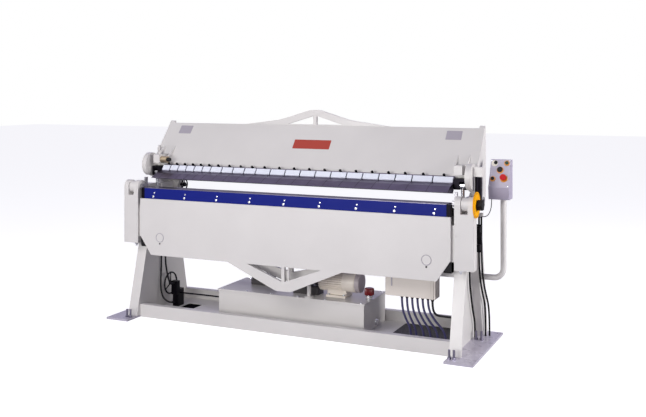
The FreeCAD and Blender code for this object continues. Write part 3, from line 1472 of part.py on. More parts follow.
def make_tubes():
    conduits = [tube(name, points, S.conduit_radius) for name, points in CONDUITS.items()]
    node("conduits", group("all_conduits", conduits))
    hoses = [tube(name, points, S.hose_radius) for name, points in HOSES.items()]
    node("hoses", group("all_hoses", hoses))
    node("switch_cable", tube("switch_cable_run", CABLE, S.cable_radius))


# Console on its arm, with switches and buttons

def panel_spot(along, out):
    """Depth and height of a point of the leaning panel, counted up the panel and out of it."""
    across, up = sine(S.panel_lean), cosine(S.panel_lean)
    return (S.panel_depth + along * across - out * up, S.panel_height + along * up + out * across)


def on_panel(name, x, along, inside, radius, length):
    depth, height = panel_spot(along, -sized(inside))
    return cylinder(name, x, depth, height, radius, length, "panel")


def make_console():
    left, back, bottom = S.console_left, S.console_back, S.console_bottom
    flange_left = S.frame_inner + S.flange_width
    arm_start = flange_left + S.arm_flange
    arm = tube("arm_pipe", [(arm_start.value, S.arm_depth.value, S.arm_height.value),
                            (S.arm_x.value, S.arm_depth.value, S.arm_height.value),
                            (S.arm_x.value, S.arm_depth.value, bottom.value)], S.arm_radius, S.arm_bend)
    flange = box("arm_flange", flange_left, S.arm_depth - S.arm_radius, S.arm_height - S.arm_flange_half,
                 S.arm_flange, S.arm_flange_width, 2 * S.arm_flange_half)
    node("console_arm", fuse("arm", [arm, flange]))
    foot, top = panel_spot(0, 0), panel_spot(S.panel_length, 0)
    outline = [(S.panel_depth + S.console_tuck, bottom), (back, bottom), (back, top[1]), top, foot]
    blank = prism("console_blank", "YZ", outline, left, S.console_width)
    bores = []
    for name, (x, along, radius, _) in CONTROLS.items():
        bores.append(on_panel(name + "_bore", x, along, S.control_bore, S[radius] + S.control_gap,
                              2 * S.control_bore))
    node("console_box", cut("console", blank, bores))
    for name, (x, along, radius, out) in CONTROLS.items():
        inside = S.control_inside
        stem = on_panel(name + "_stem", x, along, inside, S[radius], inside + S[out])
        if name == "selector_switch":
            depth, height = panel_spot(along - S.lever_length / 2, S[out] - S.lever_sunk)
            lever = box("selector_lever", 0, 0, 0, S.lever_width, S.lever_length, S.lever_height)
            place(lever, x - S.lever_width / 2, depth, height, TURNS["panel"])
            stem = fuse("selector", [stem, lever])
        if name == "stop_mushroom":
            head = on_panel("mushroom_head", x, along, -S[out], S.mushroom_radius, S.mushroom_height)
            stem = fuse("mushroom", [stem, head])
        node(name, stem)


# Limit switches on a strip beside the right frame

def make_limit_switches():
    left = S.frame_inner + S.flange_width
    strip_left = S.strip_right - S.strip_width
    parts = [box("switch_strip", strip_left, S.strip_depth, S.strip_bottom, S.strip_width,
                 S.strip_thickness, S.strip_top - S.strip_bottom),
             box("switch_arm", left, S.strip_depth + S.strip_thickness, S.switch_arm_height,
                 S.strip_right - left, S.switch_arm_thickness, S.switch_arm_width)]
    for index, height in enumerate((S.low_switch_height, S.high_switch_height)):
        parts.append(box(f"switch_body_{index}", strip_left + S.running_gap, S.strip_depth - S.switch_depth,
                         height, S.strip_width - 2 * S.running_gap, S.switch_depth, S.switch_height))
    node("limit_switches", fuse("switches", parts))


TURNS["panel"] = FreeCAD.Rotation(FreeCAD.Vector(1, 0, 0), 90 - S.panel_lean.value)

make_base()
make_side_frames()
make_bed()
make_apron()
make_brackets()
make_drive()
make_dial()
make_beam()
make_fingers()
make_beam_fittings()
make_clamp_cylinders()
make_hydraulics()
make_wheels()
make_electrical_box()
make_tubes()
make_console()
make_limit_switches()


def export():
    """Check every object, then write each piece to its own file."""
    doc.recompute()
    broken = [item.Name for item in doc.Objects if {"Invalid", "Error"} & set(item.State)]
    if broken:
        raise RuntimeError("failed objects: " + ", ".join(broken))
    for item in NODES:
        if item.Shape.isNull() or not item.Shape.isValid():
            raise RuntimeError("bad shape: " + item.Label)
    os.makedirs("parts", exist_ok=True)
    for item in NODES:
        item.Shape.exportStep(f"parts/{item.Label}.step")
    print(len(NODES), "pieces")


export()
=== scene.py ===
"""Looks of the hydraulic sheet metal folder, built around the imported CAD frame.

Places are written in millimetres as X, depth and height, where depth counts from the face of
the folding bar, as in part.py. spot() turns them into the row frame, and piece() into metres.
"""
import json
import math

import bpy
import numpy as np
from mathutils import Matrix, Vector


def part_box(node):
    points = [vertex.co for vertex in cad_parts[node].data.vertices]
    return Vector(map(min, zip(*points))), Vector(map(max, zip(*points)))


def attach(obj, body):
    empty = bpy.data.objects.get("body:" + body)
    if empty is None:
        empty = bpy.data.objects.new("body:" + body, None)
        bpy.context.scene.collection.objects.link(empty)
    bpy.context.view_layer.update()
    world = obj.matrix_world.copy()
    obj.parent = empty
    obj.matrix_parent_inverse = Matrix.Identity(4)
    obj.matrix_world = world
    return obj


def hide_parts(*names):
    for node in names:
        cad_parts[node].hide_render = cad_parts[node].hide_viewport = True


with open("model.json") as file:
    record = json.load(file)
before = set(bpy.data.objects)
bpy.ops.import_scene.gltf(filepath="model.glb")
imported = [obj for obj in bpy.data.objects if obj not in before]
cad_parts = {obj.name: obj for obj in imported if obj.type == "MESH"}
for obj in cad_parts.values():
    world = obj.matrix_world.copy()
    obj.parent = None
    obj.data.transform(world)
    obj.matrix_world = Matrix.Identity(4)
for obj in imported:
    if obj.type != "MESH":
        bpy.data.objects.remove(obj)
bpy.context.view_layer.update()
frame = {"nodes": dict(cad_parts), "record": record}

MM = 0.001
FACE_SETBACK = 245
FRONT = (0, -1, 0)
BACK = (0, 1, 0)
RIGHT = (1, 0, 0)
UP = (0, 0, 1)
DOWN = (0, 0, -1)


def spot(x, depth, height):
    """A place in millimetres in the row frame."""
    return np.array((x, depth - FACE_SETBACK, height), float)


# Camera: at the photograph's place, level, with the frame shifted down as its upright lines show

CAMERA_PLACE = (2.9407, -5.9903, 1.7928)
CAMERA_AZIMUTH = 24.535
CAMERA_LENS = 49.02
CAMERA_SENSOR = 36
CAMERA_SHIFT = -0.1833
CAMERA_REACH = 100


def add_camera():
    lens = bpy.data.cameras.new("photo_view")
    lens.sensor_width = CAMERA_SENSOR
    lens.lens = CAMERA_LENS
    lens.shift_y = CAMERA_SHIFT
    lens.clip_end = CAMERA_REACH
    camera = bpy.data.objects.new("photo_view", lens)
    camera.location = CAMERA_PLACE
    camera.rotation_euler = (math.radians(90), 0, math.radians(CAMERA_AZIMUTH))
    bpy.context.scene.collection.objects.link(camera)
    bpy.context.scene.camera = camera


# Cords: each has its length in metres and the X, depth and height of each point, as in part.py

CONDUIT_DIAMETER = 0.016
HOSE_DIAMETER = 0.014
CABLE_DIAMETER = 0.006
CORD_ROUNDNESS = 5
CORD_STEPS = 10
CONDUITS = {
    "conduit_0": (0.328, ((864, 150, 335), (864, 150, 265), (880, 172, 180), (916, 200, 95),
                          (916, 200, 21))),
    "conduit_1": (0.328, ((902, 150, 335), (902, 150, 265), (919, 172, 180), (956, 200, 95),
                          (956, 200, 21))),
    "conduit_2": (0.333, ((940, 150, 335), (940, 150, 265), (964, 172, 180), (1011, 200, 95),
                          (1011, 200, 21))),
    "conduit_3": (0.338, ((979, 150, 335), (979, 150, 265), (1008, 172, 180), (1062, 200, 95),
                          (1062, 200, 21))),
    "conduit_4": (0.343, ((1017, 150, 335), (1017, 150, 265), (1052, 172, 180), (1114, 200, 95),
                          (1114, 200, 21))),
    "conduit_5": (0.352, ((1056, 150, 335), (1056, 150, 265), (1099, 172, 180), (1172, 200, 95),
                          (1172, 200, 21))),
    "conduit_6": (0.255, ((1098, 120, 335), (1098, 120, 275), (1132, 88, 242), (1194, 48, 250),
                          (1266, 48, 250))),
}
HOSES = {
    "left_hose": (0.488, ((-1249, 250, 450), (-1249, 250, 350), (-1247, 238, 250), (-1240, 230, 160),
                          (-1215, 232, 92), (-1158, 256, 58), (-1158, 320, 58))),
    "valve_hose": (0.368, ((-1130, 135, 506), (-1130, 135, 430), (-1140, 165, 350),
                           (-1152, 205, 275), (-1158, 245, 215), (-1158, 298, 215))),
    "loom_one": (0.934, ((1368, 346, 905), (1368, 346, 780), (1368, 341, 640), (1368, 364, 480),
                         (1368, 436, 355), (1368, 512, 255), (1368, 532, 135), (1368, 532, 15))),
    "loom_two": (0.939, ((1385, 346, 905), (1385, 346, 780), (1388, 341, 640), (1389, 364, 480),
                         (1390, 438, 355), (1392, 518, 255), (1394, 545, 135), (1394, 545, 15))),
    "right_hose": (0.555, ((1314, 298, 540), (1314, 298, 440), (1314, 334, 340), (1314, 380, 230),
                           (1314, 444, 125), (1314, 444, 15))),
}
CABLE = (0.365, ((1446, 395, 1025), (1446, 395, 965), (1440, 330, 920), (1432, 262, 915),
                 (1424, 190, 925), (1421, 136, 925), (1421, 136, 880)))


def add_cord(name, length, points, diameter, node, slot):
    """A smooth tube: its middle line is the spline that the points control."""
    curve = bpy.data.curves.new(name, "CURVE")
    curve.dimensions = "3D"
    curve.bevel_depth = diameter / 2
    curve.bevel_resolution = CORD_ROUNDNESS
    curve.use_fill_caps = True
    curve.resolution_u = CORD_STEPS
    curve.render_resolution_u = CORD_STEPS
    spline = curve.splines.new("NURBS")
    spline.points.add(len(points) - 1)
    for point, place in zip(spline.points, points):
        point.co = (*(spot(*place) * MM), 1)
    spline.order_u = 3
    spline.use_endpoint_u = True
    tube = bpy.data.objects.new(name, curve)
    bpy.context.scene.collection.objects.link(tube)
    curve.materials.append(MATERIALS[slot])
    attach(tube, "frame")
    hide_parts(node)


def add_cords():
    for name, (length, points) in CONDUITS.items():
        slot = "hose_rubber" if name == "conduit_6" else "conduit_plastic"
        add_cord(name, length, points, CONDUIT_DIAMETER, "conduits", slot)
    for name, (length, points) in HOSES.items():
        add_cord(name, length, points, HOSE_DIAMETER, "hoses", "hose_rubber")
    add_cord("console_cable", *CABLE, CABLE_DIAMETER, "switch_cable", "hose_rubber")


# Materials: all patterns read Object coordinates, which are metres in the row frame; their widths are
# given in millimetres. A pixel of the picture shows 7 to 8 mm of the machine, while real orange peel is 1 to
# 3 mm wide, and ground lines and the grain of a mould are under 0.3 mm: these are drawn as coarse as they
# have to be to show.

TONE_DRIFT = 420
GLOSS_CLOUD = 90
RUBBED_SPECK = 12
ORANGE_PEEL = 3.5
ENAMEL_EDGE = 1.6
STAIN_CLOUD = 160
GRIND_DEPTH = 0.02
STEEL_EDGE = 0.8
DUST_CLOUD = 30
SHEEN_CLOUD = 11
DUST_COLOUR = "9A9690"


def linear(colour):
    """Linear red, green, blue and alpha of a screen colour written as six hexadecimal digits, by the
    standard sRGB curve."""
    parts = np.array([int(colour[k:k + 2], 16) for k in (0, 2, 4)]) / 255
    low = parts / 12.92
    high = ((parts + 0.055) / 1.055) ** 2.4
    return (*np.where(parts <= 0.04045, low, high), 1.0)


def shade(colour, factor):
    """The linear colour, made darker or lighter."""
    return (*(min(1.0, part * factor) for part in colour[:3]), 1.0)


def add(tree, kind, inputs=None, **settings):
    """A shader node with its settings; an input is a value, or the socket that feeds it."""
    item = tree.nodes.new("ShaderNode" + kind)
    for name, value in settings.items():
        setattr(item, name, value)
    for name, value in (inputs or {}).items():
        if isinstance(value, bpy.types.NodeSocket):
            tree.links.new(value, item.inputs[name])
        else:
            item.inputs[name].default_value = value
    return item


def new_material(name):
    """An empty material with its shader, and the coordinates that its patterns read."""
    material = bpy.data.materials.new(name)
    material.use_nodes = True
    tree = material.node_tree
    tree.nodes.clear()
    shader = add(tree, "BsdfPrincipled")
    output = add(tree, "OutputMaterial")
    tree.links.new(shader.outputs["BSDF"], output.inputs["Surface"])
    return material, tree, shader, add(tree, "TexCoord").outputs["Object"]


def noise(tree, coordinates, size, detail, stretch=(1, 1, 1)):
    """A noise whose spots are about size wide, and longer along an axis whose stretch is above 1."""
    scale = tuple(1 / (size * MM * part) for part in stretch)
    mapped = add(tree, "Mapping", {"Vector": coordinates, "Scale": scale})
    pattern = add(tree, "TexNoise", {"Vector": mapped.outputs[0], "Scale": 1.0, "Detail": detail})
    return pattern.outputs["Fac"]


def ranged(tree, value, low, high, start=0.3, end=0.7):
    """The value, spread so that start to end becomes low to high."""
    return add(tree, "MapRange", {"Value": value, "From Min": start, "From Max": end,
                                  "To Min": low, "To Max": high}).outputs["Result"]


def blended(tree, share, first, second):
    """A colour between two, by a share that may be a pattern."""
    mix = add(tree, "Mix", data_type="RGBA")
    for socket, value in ((0, share), (6, first), (7, second)):
        if isinstance(value, bpy.types.NodeSocket):
            tree.links.new(value, mix.inputs[socket])
        else:
            mix.inputs[socket].default_value = value
    return mix.outputs[2]


def edges(tree, radius):
    """A rounded normal, and a value that goes from 0 on flats to 1 at corners: there the two normals'
    product falls from 0.995 to 0.86."""
    bevelled = add(tree, "Bevel", {"Radius": radius * MM}, samples=4).outputs["Normal"]
    flat = add(tree, "NewGeometry").outputs["Normal"]
    product = add(tree, "VectorMath", {0: bevelled, 1: flat}, operation="DOT_PRODUCT")
    return bevelled, ranged(tree, product.outputs["Value"], 1.0, 0.0, 0.86, 0.995)


def enamel(name, colour, rough=0.36, peel=0.05, worn="8C8A86", wear=0.25, coat=0.12, shine=0.5):
    """Sprayed machine enamel: a faint orange peel as deep as peel, slow drifts of tone, and rounded edges
    where the paint is rubbed through to the worn colour."""
    material, tree, shader, place = new_material(name)
    tone = linear(colour)
    drift = ranged(tree, noise(tree, place, TONE_DRIFT, 3), 0, 1)
    paint = blended(tree, drift, shade(tone, 0.965), shade(tone, 1.02))
    specks = ranged(tree, noise(tree, place, RUBBED_SPECK, 4), 0, 1, 0.45, 0.8)
    normal, corner = edges(tree, ENAMEL_EDGE)
    rubbed = add(tree, "Math", {0: corner, 1: specks}, operation="MULTIPLY").outputs[0]
    share = add(tree, "Math", {0: rubbed, 1: wear}, operation="MULTIPLY").outputs[0]
    tree.links.new(blended(tree, share, paint, linear(worn)), shader.inputs["Base Color"])
    cloud = noise(tree, place, GLOSS_CLOUD, 3)
    tree.links.new(ranged(tree, cloud, rough - 0.05, rough + 0.06), shader.inputs["Roughness"])
    bump = add(tree, "Bump", {"Height": noise(tree, place, ORANGE_PEEL, 2), "Normal": normal,
                              "Distance": peel * MM, "Strength": 0.6})
    tree.links.new(bump.outputs["Normal"], shader.inputs["Normal"])
    shader.inputs["Specular IOR Level"].default_value = shine
    shader.inputs["Coat Weight"].default_value = coat
    shader.inputs["Coat Roughness"].default_value = 0.12
    return material


def ground(name, colour, rough=0.3, stretch=(60, 1, 1), grain=0.7, stain=0.82):
    """Ground or drawn steel: lines as wide as grain along one axis, cloudy stains and bright rounded
    edges; with an even stretch, the dull grain of a turned, plated or cast metal."""
    material, tree, shader, place = new_material(name)
    tone = linear(colour)
    lines = ranged(tree, noise(tree, place, grain, 3, stretch), 0, 1)
    steel = blended(tree, lines, shade(tone, 0.86), shade(tone, 1.1))
    clouds = ranged(tree, noise(tree, place, STAIN_CLOUD, 5), 0, 1, 0.4, 0.75)
    stained = blended(tree, clouds, steel, shade(tone, stain))
    normal, corner = edges(tree, STEEL_EDGE)
    tree.links.new(blended(tree, corner, stained, shade(tone, 1.35)), shader.inputs["Base Color"])
    tree.links.new(ranged(tree, lines, rough - 0.07, rough + 0.1, 0, 1), shader.inputs["Roughness"])
    bump = add(tree, "Bump", {"Height": lines, "Normal": normal, "Distance": GRIND_DEPTH * MM,
                              "Strength": 0.5})
    tree.links.new(bump.outputs["Normal"], shader.inputs["Normal"])
    shader.inputs["Metallic"].default_value = 1.0
    return material


def moulded(name, colour, rough=0.45, grain=1.2, depth=0.04, dusty=0.12, shine=0.5):
    """Moulded plastic or rubber: a grain of this width and depth, and a little pale dust in clouds."""
    material, tree, shader, place = new_material(name)
    clouds = ranged(tree, noise(tree, place, DUST_CLOUD, 4), 0, dusty, 0.45, 0.75)
    tree.links.new(blended(tree, clouds, linear(colour), linear(DUST_COLOUR)),
                   shader.inputs["Base Color"])
    sheen = noise(tree, place, SHEEN_CLOUD, 2)
    tree.links.new(ranged(tree, sheen, rough - 0.08, rough + 0.08), shader.inputs["Roughness"])
    shader.inputs["Specular IOR Level"].default_value = shine
    bump = add(tree, "Bump", {"Height": noise(tree, place, grain, 2), "Distance": depth * MM,
                              "Strength": 0.7})
    tree.links.new(bump.outputs["Normal"], shader.inputs["Normal"])
    return material


# The finish of each slot in the record. Enamels give a soft even sheen; ground steel mirrors in streaks
# along its lines, black oxide swallows light, and chrome mirrors sharply; plastics and rubber stay dull.
MATERIALS = {
    "machine_paint": enamel("warm_white_enamel", "DAD7D5"),
    "bar_paint": enamel("blue_enamel", "17227C", rough=0.45, worn="5A5E80", wear=0.3, coat=0.0,
                        shine=0.1),
    "ground_steel": ground("ground_bed_steel", "B9B7BC", rough=0.28),
    "nose_steel": ground("hardened_nose_steel", "675F74", rough=0.36, stretch=(40, 1, 1), grain=4,
                         stain=0.7),
    "bright_plate": enamel("bright_finger_plate", "EEF2FF", rough=0.25, worn="A9AEC0", wear=0.5),
    "dark_steel": ground("black_oxide_steel", "1D1B21", rough=0.42, grain=1.2, stain=0.6),
    "rod_chrome": ground("hard_chrome", "D9DADF", rough=0.12, stretch=(1, 1, 30), stain=0.9),
    "motor_paint": enamel("motor_enamel", "F0E7DB", rough=0.42, worn="8A8178", wear=0.4),
    "pump_iron": enamel("cast_iron_paint", "3A3638", rough=0.5, peel=0.2, worn="6B6663", wear=0.4),
    "dial_paint": enamel("amber_dial_enamel", "F2A806", rough=0.5, worn="A87410", wear=0.4, coat=0.0,
                         shine=0.05),
    "console_paint": enamel("lavender_grey_enamel", "ADA6BA", rough=0.4, worn="7D7A88", wear=0.35),
    "box_paint": enamel("light_grey_enamel", "DAD2CA", rough=0.4),
    "black_plastic": moulded("black_plastic", "121115", dusty=0.04, shine=0.15),
    "green_plastic": moulded("green_plastic", "123626", rough=0.35, dusty=0.03, shine=0.25),
    "red_plastic": moulded("red_plastic", "C4101C", rough=0.45, dusty=0.04, shine=0.15),
    "cap_plastic": moulded("dark_red_plastic", "7A1018", rough=0.32),
    "hose_rubber": moulded("hose_rubber", "121116", rough=0.5, grain=0.8, depth=0.08, dusty=0.05,
                           shine=0.2),
    "conduit_plastic": moulded("conduit_plastic", "45426A", rough=0.38, dusty=0.06),
    "fitting_brass": ground("cast_brass", "B7A58C", rough=0.35, stretch=(1, 1, 1), grain=2),
}
# Finishes of small pieces that the solids leave out, or that differ from their slot's in the photo
EXTRA = {
    "bolt_steel": ground("bright_bolt_steel", "E4E5EA", rough=0.22, stretch=(1, 1, 1), grain=1.5),
    # A darker copy of the motor's enamel with the same worn colour: painted shade on the motor's right end
    "fan_shade_enamel": enamel("fan_end_painted_shade_enamel", "B5ABAF", rough=0.5, worn="8A8178"),
    # Machine paint darkened to lavender for the foot plates: painted shade and painted reflection of the dim
    # lavender sky on their tops
    "plate_enamel": enamel("foot_painted_shade_enamel", "BDB8C6", rough=0.3, wear=0.0),
    "zinc_steel": ground("zinc_plated_steel", "8B8799", rough=0.35, stretch=(1, 1, 1), grain=2),
    "red_plate": enamel("red_plate_enamel", "A8301F", rough=0.35, worn="7A2418"),
    "pale_plate": enamel("etched_aluminium_plate", "A9A3AE", rough=0.35, worn="8D8894"),
    "amber_ring": moulded("amber_plastic", "D98A1C", rough=0.35),
    "pale_ring": moulded("ivory_plastic", "E6E0D2", rough=0.4, dusty=0.03),
    "engraving": moulded("black_engraving_paint", "1B1A1C", rough=0.6),
}
NODE_FINISH = {"levelling_screws": EXTRA["zinc_steel"], "folding_blade": EXTRA["zinc_steel"],
               "foot_plates": EXTRA["plate_enamel"]}


def dress_nodes():
    """Every CAD node that still shows gets the finish of its slot, or its own."""
    for entry in frame["record"]["subparts"]:
        name = entry["node"]
        shown = frame["nodes"][name].data
        shown.materials.clear()
        shown.materials.append(NODE_FINISH.get(name, MATERIALS[entry["material_slot"]]))


# Shapes: rings of points in millimetres, joined one to the next; open shapes get flat ends

SMOOTH_ANGLE = math.radians(35)


def circle(radius, sides=32):
    """Corner k stands at the angle k / sides of a full turn."""
    turn = np.arange(sides) * 2 * math.pi / sides
    return radius * np.column_stack([np.cos(turn), np.sin(turn)])


def hexagon(flats):
    """A regular six-sided outline with this width across its flats."""
    return circle(flats / math.sqrt(3), 6)


def rounded(width, height, corner, steps=5):
    """A rectangle whose corners are quarter circles."""
    turn = np.linspace(0, math.pi / 2, steps)
    arc = corner * np.column_stack([np.cos(turn), np.sin(turn)])
    middle = np.array([width / 2 - corner, height / 2 - corner])
    quarters = []
    for quarter, signs in enumerate(((1, 1), (-1, 1), (-1, -1), (1, -1))):
        mirrored = arc if quarter % 2 == 0 else arc[::-1]
        quarters.append((mirrored + middle) * signs)
    return np.concatenate(quarters)


def drawn_in(outline, distance):
    """Each corner moves along the bisector of its two sides, until both sides have moved in by distance."""
    ahead = np.roll(outline, -1, axis=0) - outline
    ahead /= np.linalg.norm(ahead, axis=1)[:, None]
    inward = np.column_stack([-ahead[:, 1], ahead[:, 0]])
    before = np.roll(inward, 1, axis=0)
    share = 1 + (inward * before).sum(axis=1)
    return outline + distance * (inward + before) / share[:, None]


def stacked(outline, levels, place, out=FRONT, across=RIGHT):
    """Ring k is the outline, counter-clockwise, drawn in by inset k and lifted by height k along out."""
    rings = [np.column_stack([drawn_in(outline, inset), np.full(len(outline), float(height))])
             for inset, height in levels]
    out, across = np.array(out, float), np.array(across, float)
    axes = np.array([across, np.cross(out, across), out])
    return np.asarray(place) + np.array(rings) @ axes, False


def ring_tube(path, radius, reference, sides=12):
    """A tube closed on itself: a circle of this radius, set square to the path at each of its points."""
    ahead = np.roll(path, -1, axis=0) - np.roll(path, 1, axis=0)
    ahead /= np.linalg.norm(ahead, axis=1)[:, None]
    side = np.cross(ahead, np.array(reference, float))
    side /= np.linalg.norm(side, axis=1)[:, None]
    rise = np.cross(ahead, side)
    ring = circle(radius, sides)
    swung = ring[None, :, 0, None] * side[:, None] + ring[None, :, 1, None] * rise[:, None]
    return path[:, None] + swung, True


def bar(side, left, right):
    """A straight bar along X whose two ends are the outline side: depth and height of each corner."""
    side = np.asarray(side, float)
    depth, height = side[:, 0] - FACE_SETBACK, side[:, 1]
    ends = [np.column_stack([np.full(len(side), float(x)), depth, height]) for x in (left, right)]
    return np.array(ends), False


def piece(name, shapes, material, body, node=None):
    """One object from its shapes, riding on a CAD body; it may stand for a CAD node."""
    points, faces, start = [], [], 0
    for rings, closed in shapes:
        count, around = rings.shape[:2]
        index = start + np.arange(count * around).reshape(count, around)
        if closed:
            index = np.vstack([index, index[:1]])
        low, high = index[:-1], index[1:]
        quads = np.stack([low, np.roll(low, -1, axis=1), np.roll(high, -1, axis=1), high], axis=-1)
        faces += quads.reshape(-1, 4).tolist()
        if not closed:
            faces += [index[0][::-1].tolist(), index[-1].tolist()]
        points.append(rings.reshape(-1, 3))
        start += count * around
    mesh = bpy.data.meshes.new(name)
    mesh.from_pydata(np.concatenate(points) * MM, [], faces)
    mesh.polygons.foreach_set("use_smooth", np.ones(len(mesh.polygons), bool))
    mesh.set_sharp_from_angle(angle=SMOOTH_ANGLE)
    mesh.validate()
    mesh.materials.append(material)
    item = bpy.data.objects.new(name, mesh)
    bpy.context.scene.collection.objects.link(item)
    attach(item, body)
    if node:
        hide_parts(node)


def socket_screw(radius, height, place, out=FRONT, across=RIGHT):
    """A round head with a rounded rim and a round socket sunk in its middle."""
    rim = radius * 0.14
    levels = [(0, 0), (0, height - rim), (rim * 0.3, height - rim * 0.3), (rim, height),
              (radius * 0.48, height), (radius * 0.52, height * 0.35)]
    return stacked(circle(radius, 24), levels, place, out, across)


def hex_bolt(flats, height, place, out=FRONT, across=RIGHT):
    """A hexagon head with a chamfered top on a round washer."""
    washer = stacked(circle(flats * 0.72, 24), [(0, 0), (0, height * 0.2), (0.5, height * 0.25)],
                     place, out, across)
    head = stacked(hexagon(flats), [(0, height * 0.25), (0, height * 0.85), (flats * 0.06, height)],
                   place, out, across)
    return [washer, head]


def plate(width, height, thick, corner, place, out=FRONT, across=RIGHT, edge=0.6):
    """A flat plate with rounded corners and a small chamfer around its face."""
    levels = [(0, 0), (0, thick - edge), (edge, thick)]
    return stacked(rounded(width, height, corner), levels, place, out, across)


# Bed, folding bar and apron

BOLT_PITCH = 286.8
BOLT_COLUMNS = 9
# Radius and height of the heads, how far they stand to the right of their column, and height of the row
BAR_ROWS = ((9.5, 6, 0, 955.6), (6.5, 5, 8, 984))


def add_bar_bolts():
    """Nine columns of two screws through the folding bar; the lower row has the larger heads."""
    screws = []
    for column in range(BOLT_COLUMNS):
        x = (column - (BOLT_COLUMNS - 1) / 2) * BOLT_PITCH
        for radius, head, shift, height in BAR_ROWS:
            screws.append(socket_screw(radius, head, spot(x + shift, 0, height)))
    piece("bar_bolts", screws, EXTRA["bolt_steel"], "apron")


SEAT_DEPTH = 40
SEAT_HEIGHT = 50
LEVEL_END = 52
BED_FALL = 15
BED_THICK = 30
WALL_BACK = 150


def add_bed_top():
    """The ground bed: its top stays level over the seat of the blade and then falls away to the back."""
    low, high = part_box("bed_table")
    half = high[0] / MM
    front, back = low[1] / MM + FACE_SETBACK, high[1] / MM + FACE_SETBACK
    foot, top = low[2] / MM, high[2] / MM
    side = [(back, top - BED_THICK), (back, top - BED_FALL), (front + LEVEL_END, top),
            (front + SEAT_DEPTH, top), (front + SEAT_DEPTH, top - SEAT_HEIGHT),
            (front, top - SEAT_HEIGHT), (front, foot), (WALL_BACK, foot), (WALL_BACK, top - BED_THICK)]
    piece("bed_top", [bar(side, -half, half)], MATERIALS["ground_steel"], "frame",
          node="bed_table")


GIB_COLUMN = 1300
GIB_ROWS = (640, 726, 812, 898)
BRACKET_FACE = -10
JACK_COLUMN = 1326


def add_bracket_screws():
    """Gib screws down the inner edge of each apron bracket, and the jack screw under it."""
    gibs, jacks = [], []
    for side in (-1, 1):
        for height in GIB_ROWS:
            gibs.append(socket_screw(4.5, 3, spot(side * GIB_COLUMN, BRACKET_FACE, height)))
        foot = spot(side * JACK_COLUMN, 23, 581)
        jacks += hex_bolt(30, 12, foot, DOWN)
        jacks.append(stacked(circle(8), [(0, 12), (0, 26), (2, 28)], foot, DOWN))
    piece("gib_screws", gibs, MATERIALS["machine_paint"], "apron")
    piece("jack_screws", jacks, EXTRA["bolt_steel"], "apron")


SHOE_SIDE = ((0.5, 563.5), (8.7, 555.5), (70, 555.5), (70, 626.5), (0.5, 626.5))
SHOE_WIDTH = 54.5


def add_stop_pads():
    """A black rubber shoe over each stop lug, half a millimetre proud of it."""
    shoes = [bar(SHOE_SIDE, left, left + SHOE_WIDTH) for left in (-1266, 1211.5)]
    piece("stop_pads", shoes, MATERIALS["black_plastic"], "frame")


def add_turnbuckle():
    """The hexagon sleeve with a rod out of each end, between the apron and the foot of its truss."""
    x, depth, foot, top = 42, 0.5, 394, 497
    sleeve_foot, sleeve_top = foot + 22, top - 26
    sleeve = sleeve_top - sleeve_foot
    parts = [stacked(circle(7, 20), [(0, 0), (0, top - foot)], spot(x, depth, foot), UP),
             stacked(hexagon(22), [(1.5, 0), (0, 2), (0, sleeve - 2), (1.5, sleeve)],
                     spot(x, depth, sleeve_foot), UP),
             stacked(hexagon(20), [(1.2, 0), (0, 1.5), (0, 8), (1.2, 9.5)],
                     spot(x, depth, sleeve_top + 4), UP)]
    piece("turnbuckle", parts, MATERIALS["machine_paint"], "apron")


# Beam: its leaning face, fingers and bare plates

BEAM_LEAN = math.radians(38.4)
FACE_UP = (0, math.sin(BEAM_LEAN), math.cos(BEAM_LEAN))
FACE_OUT = (0, -math.cos(BEAM_LEAN), math.sin(BEAM_LEAN))
FACE_FOOT = (288, 1198)


def on_face(x, height):
    """The place on the beam's face at this height."""
    return spot(x, FACE_FOOT[0] + (height - FACE_FOOT[1]) * math.tan(BEAM_LEAN), height)


def finger_edges():
    """X of both sides of each finger, in millimetres, from the CAD node's own corners."""
    mesh = frame["nodes"]["fingers"].data
    corners = np.empty(len(mesh.vertices) * 3)
    mesh.vertices.foreach_get("co", corners)
    columns = np.unique(corners[0::3].round(5)) / MM
    return columns.reshape(-1, 2)


# The nose's upper side as depth and height of its tip, its knee and its joint with the plates, and the
# direction that points out of it at each
NOSE_LINE = np.array(((66.0, 1096.2), (145.2, 1128.1), (206.0, 1139.7)))
NOSE_OUT = np.array(((-0.373, 0.928), (-0.282, 0.959), (-0.187, 0.982)))


def add_nose_gap_shades():
    """Painted shade along each joint between two fingers: a dark line that follows the nose's upper side
    from the tip over the knee to the plates, as a ribbon half sunk in the noses."""
    sunk, proud = 0.6, 0.4
    before, after = 1.1, 1.5
    side = np.concatenate([NOSE_LINE - sunk * NOSE_OUT, (NOSE_LINE + proud * NOSE_OUT)[::-1]])
    ribbons = [bar(side, joint - before, joint + after) for _, joint in finger_edges()[:-1]]
    piece("nose_gap_shades", ribbons, MATERIALS["dark_steel"], "clamp_beam")


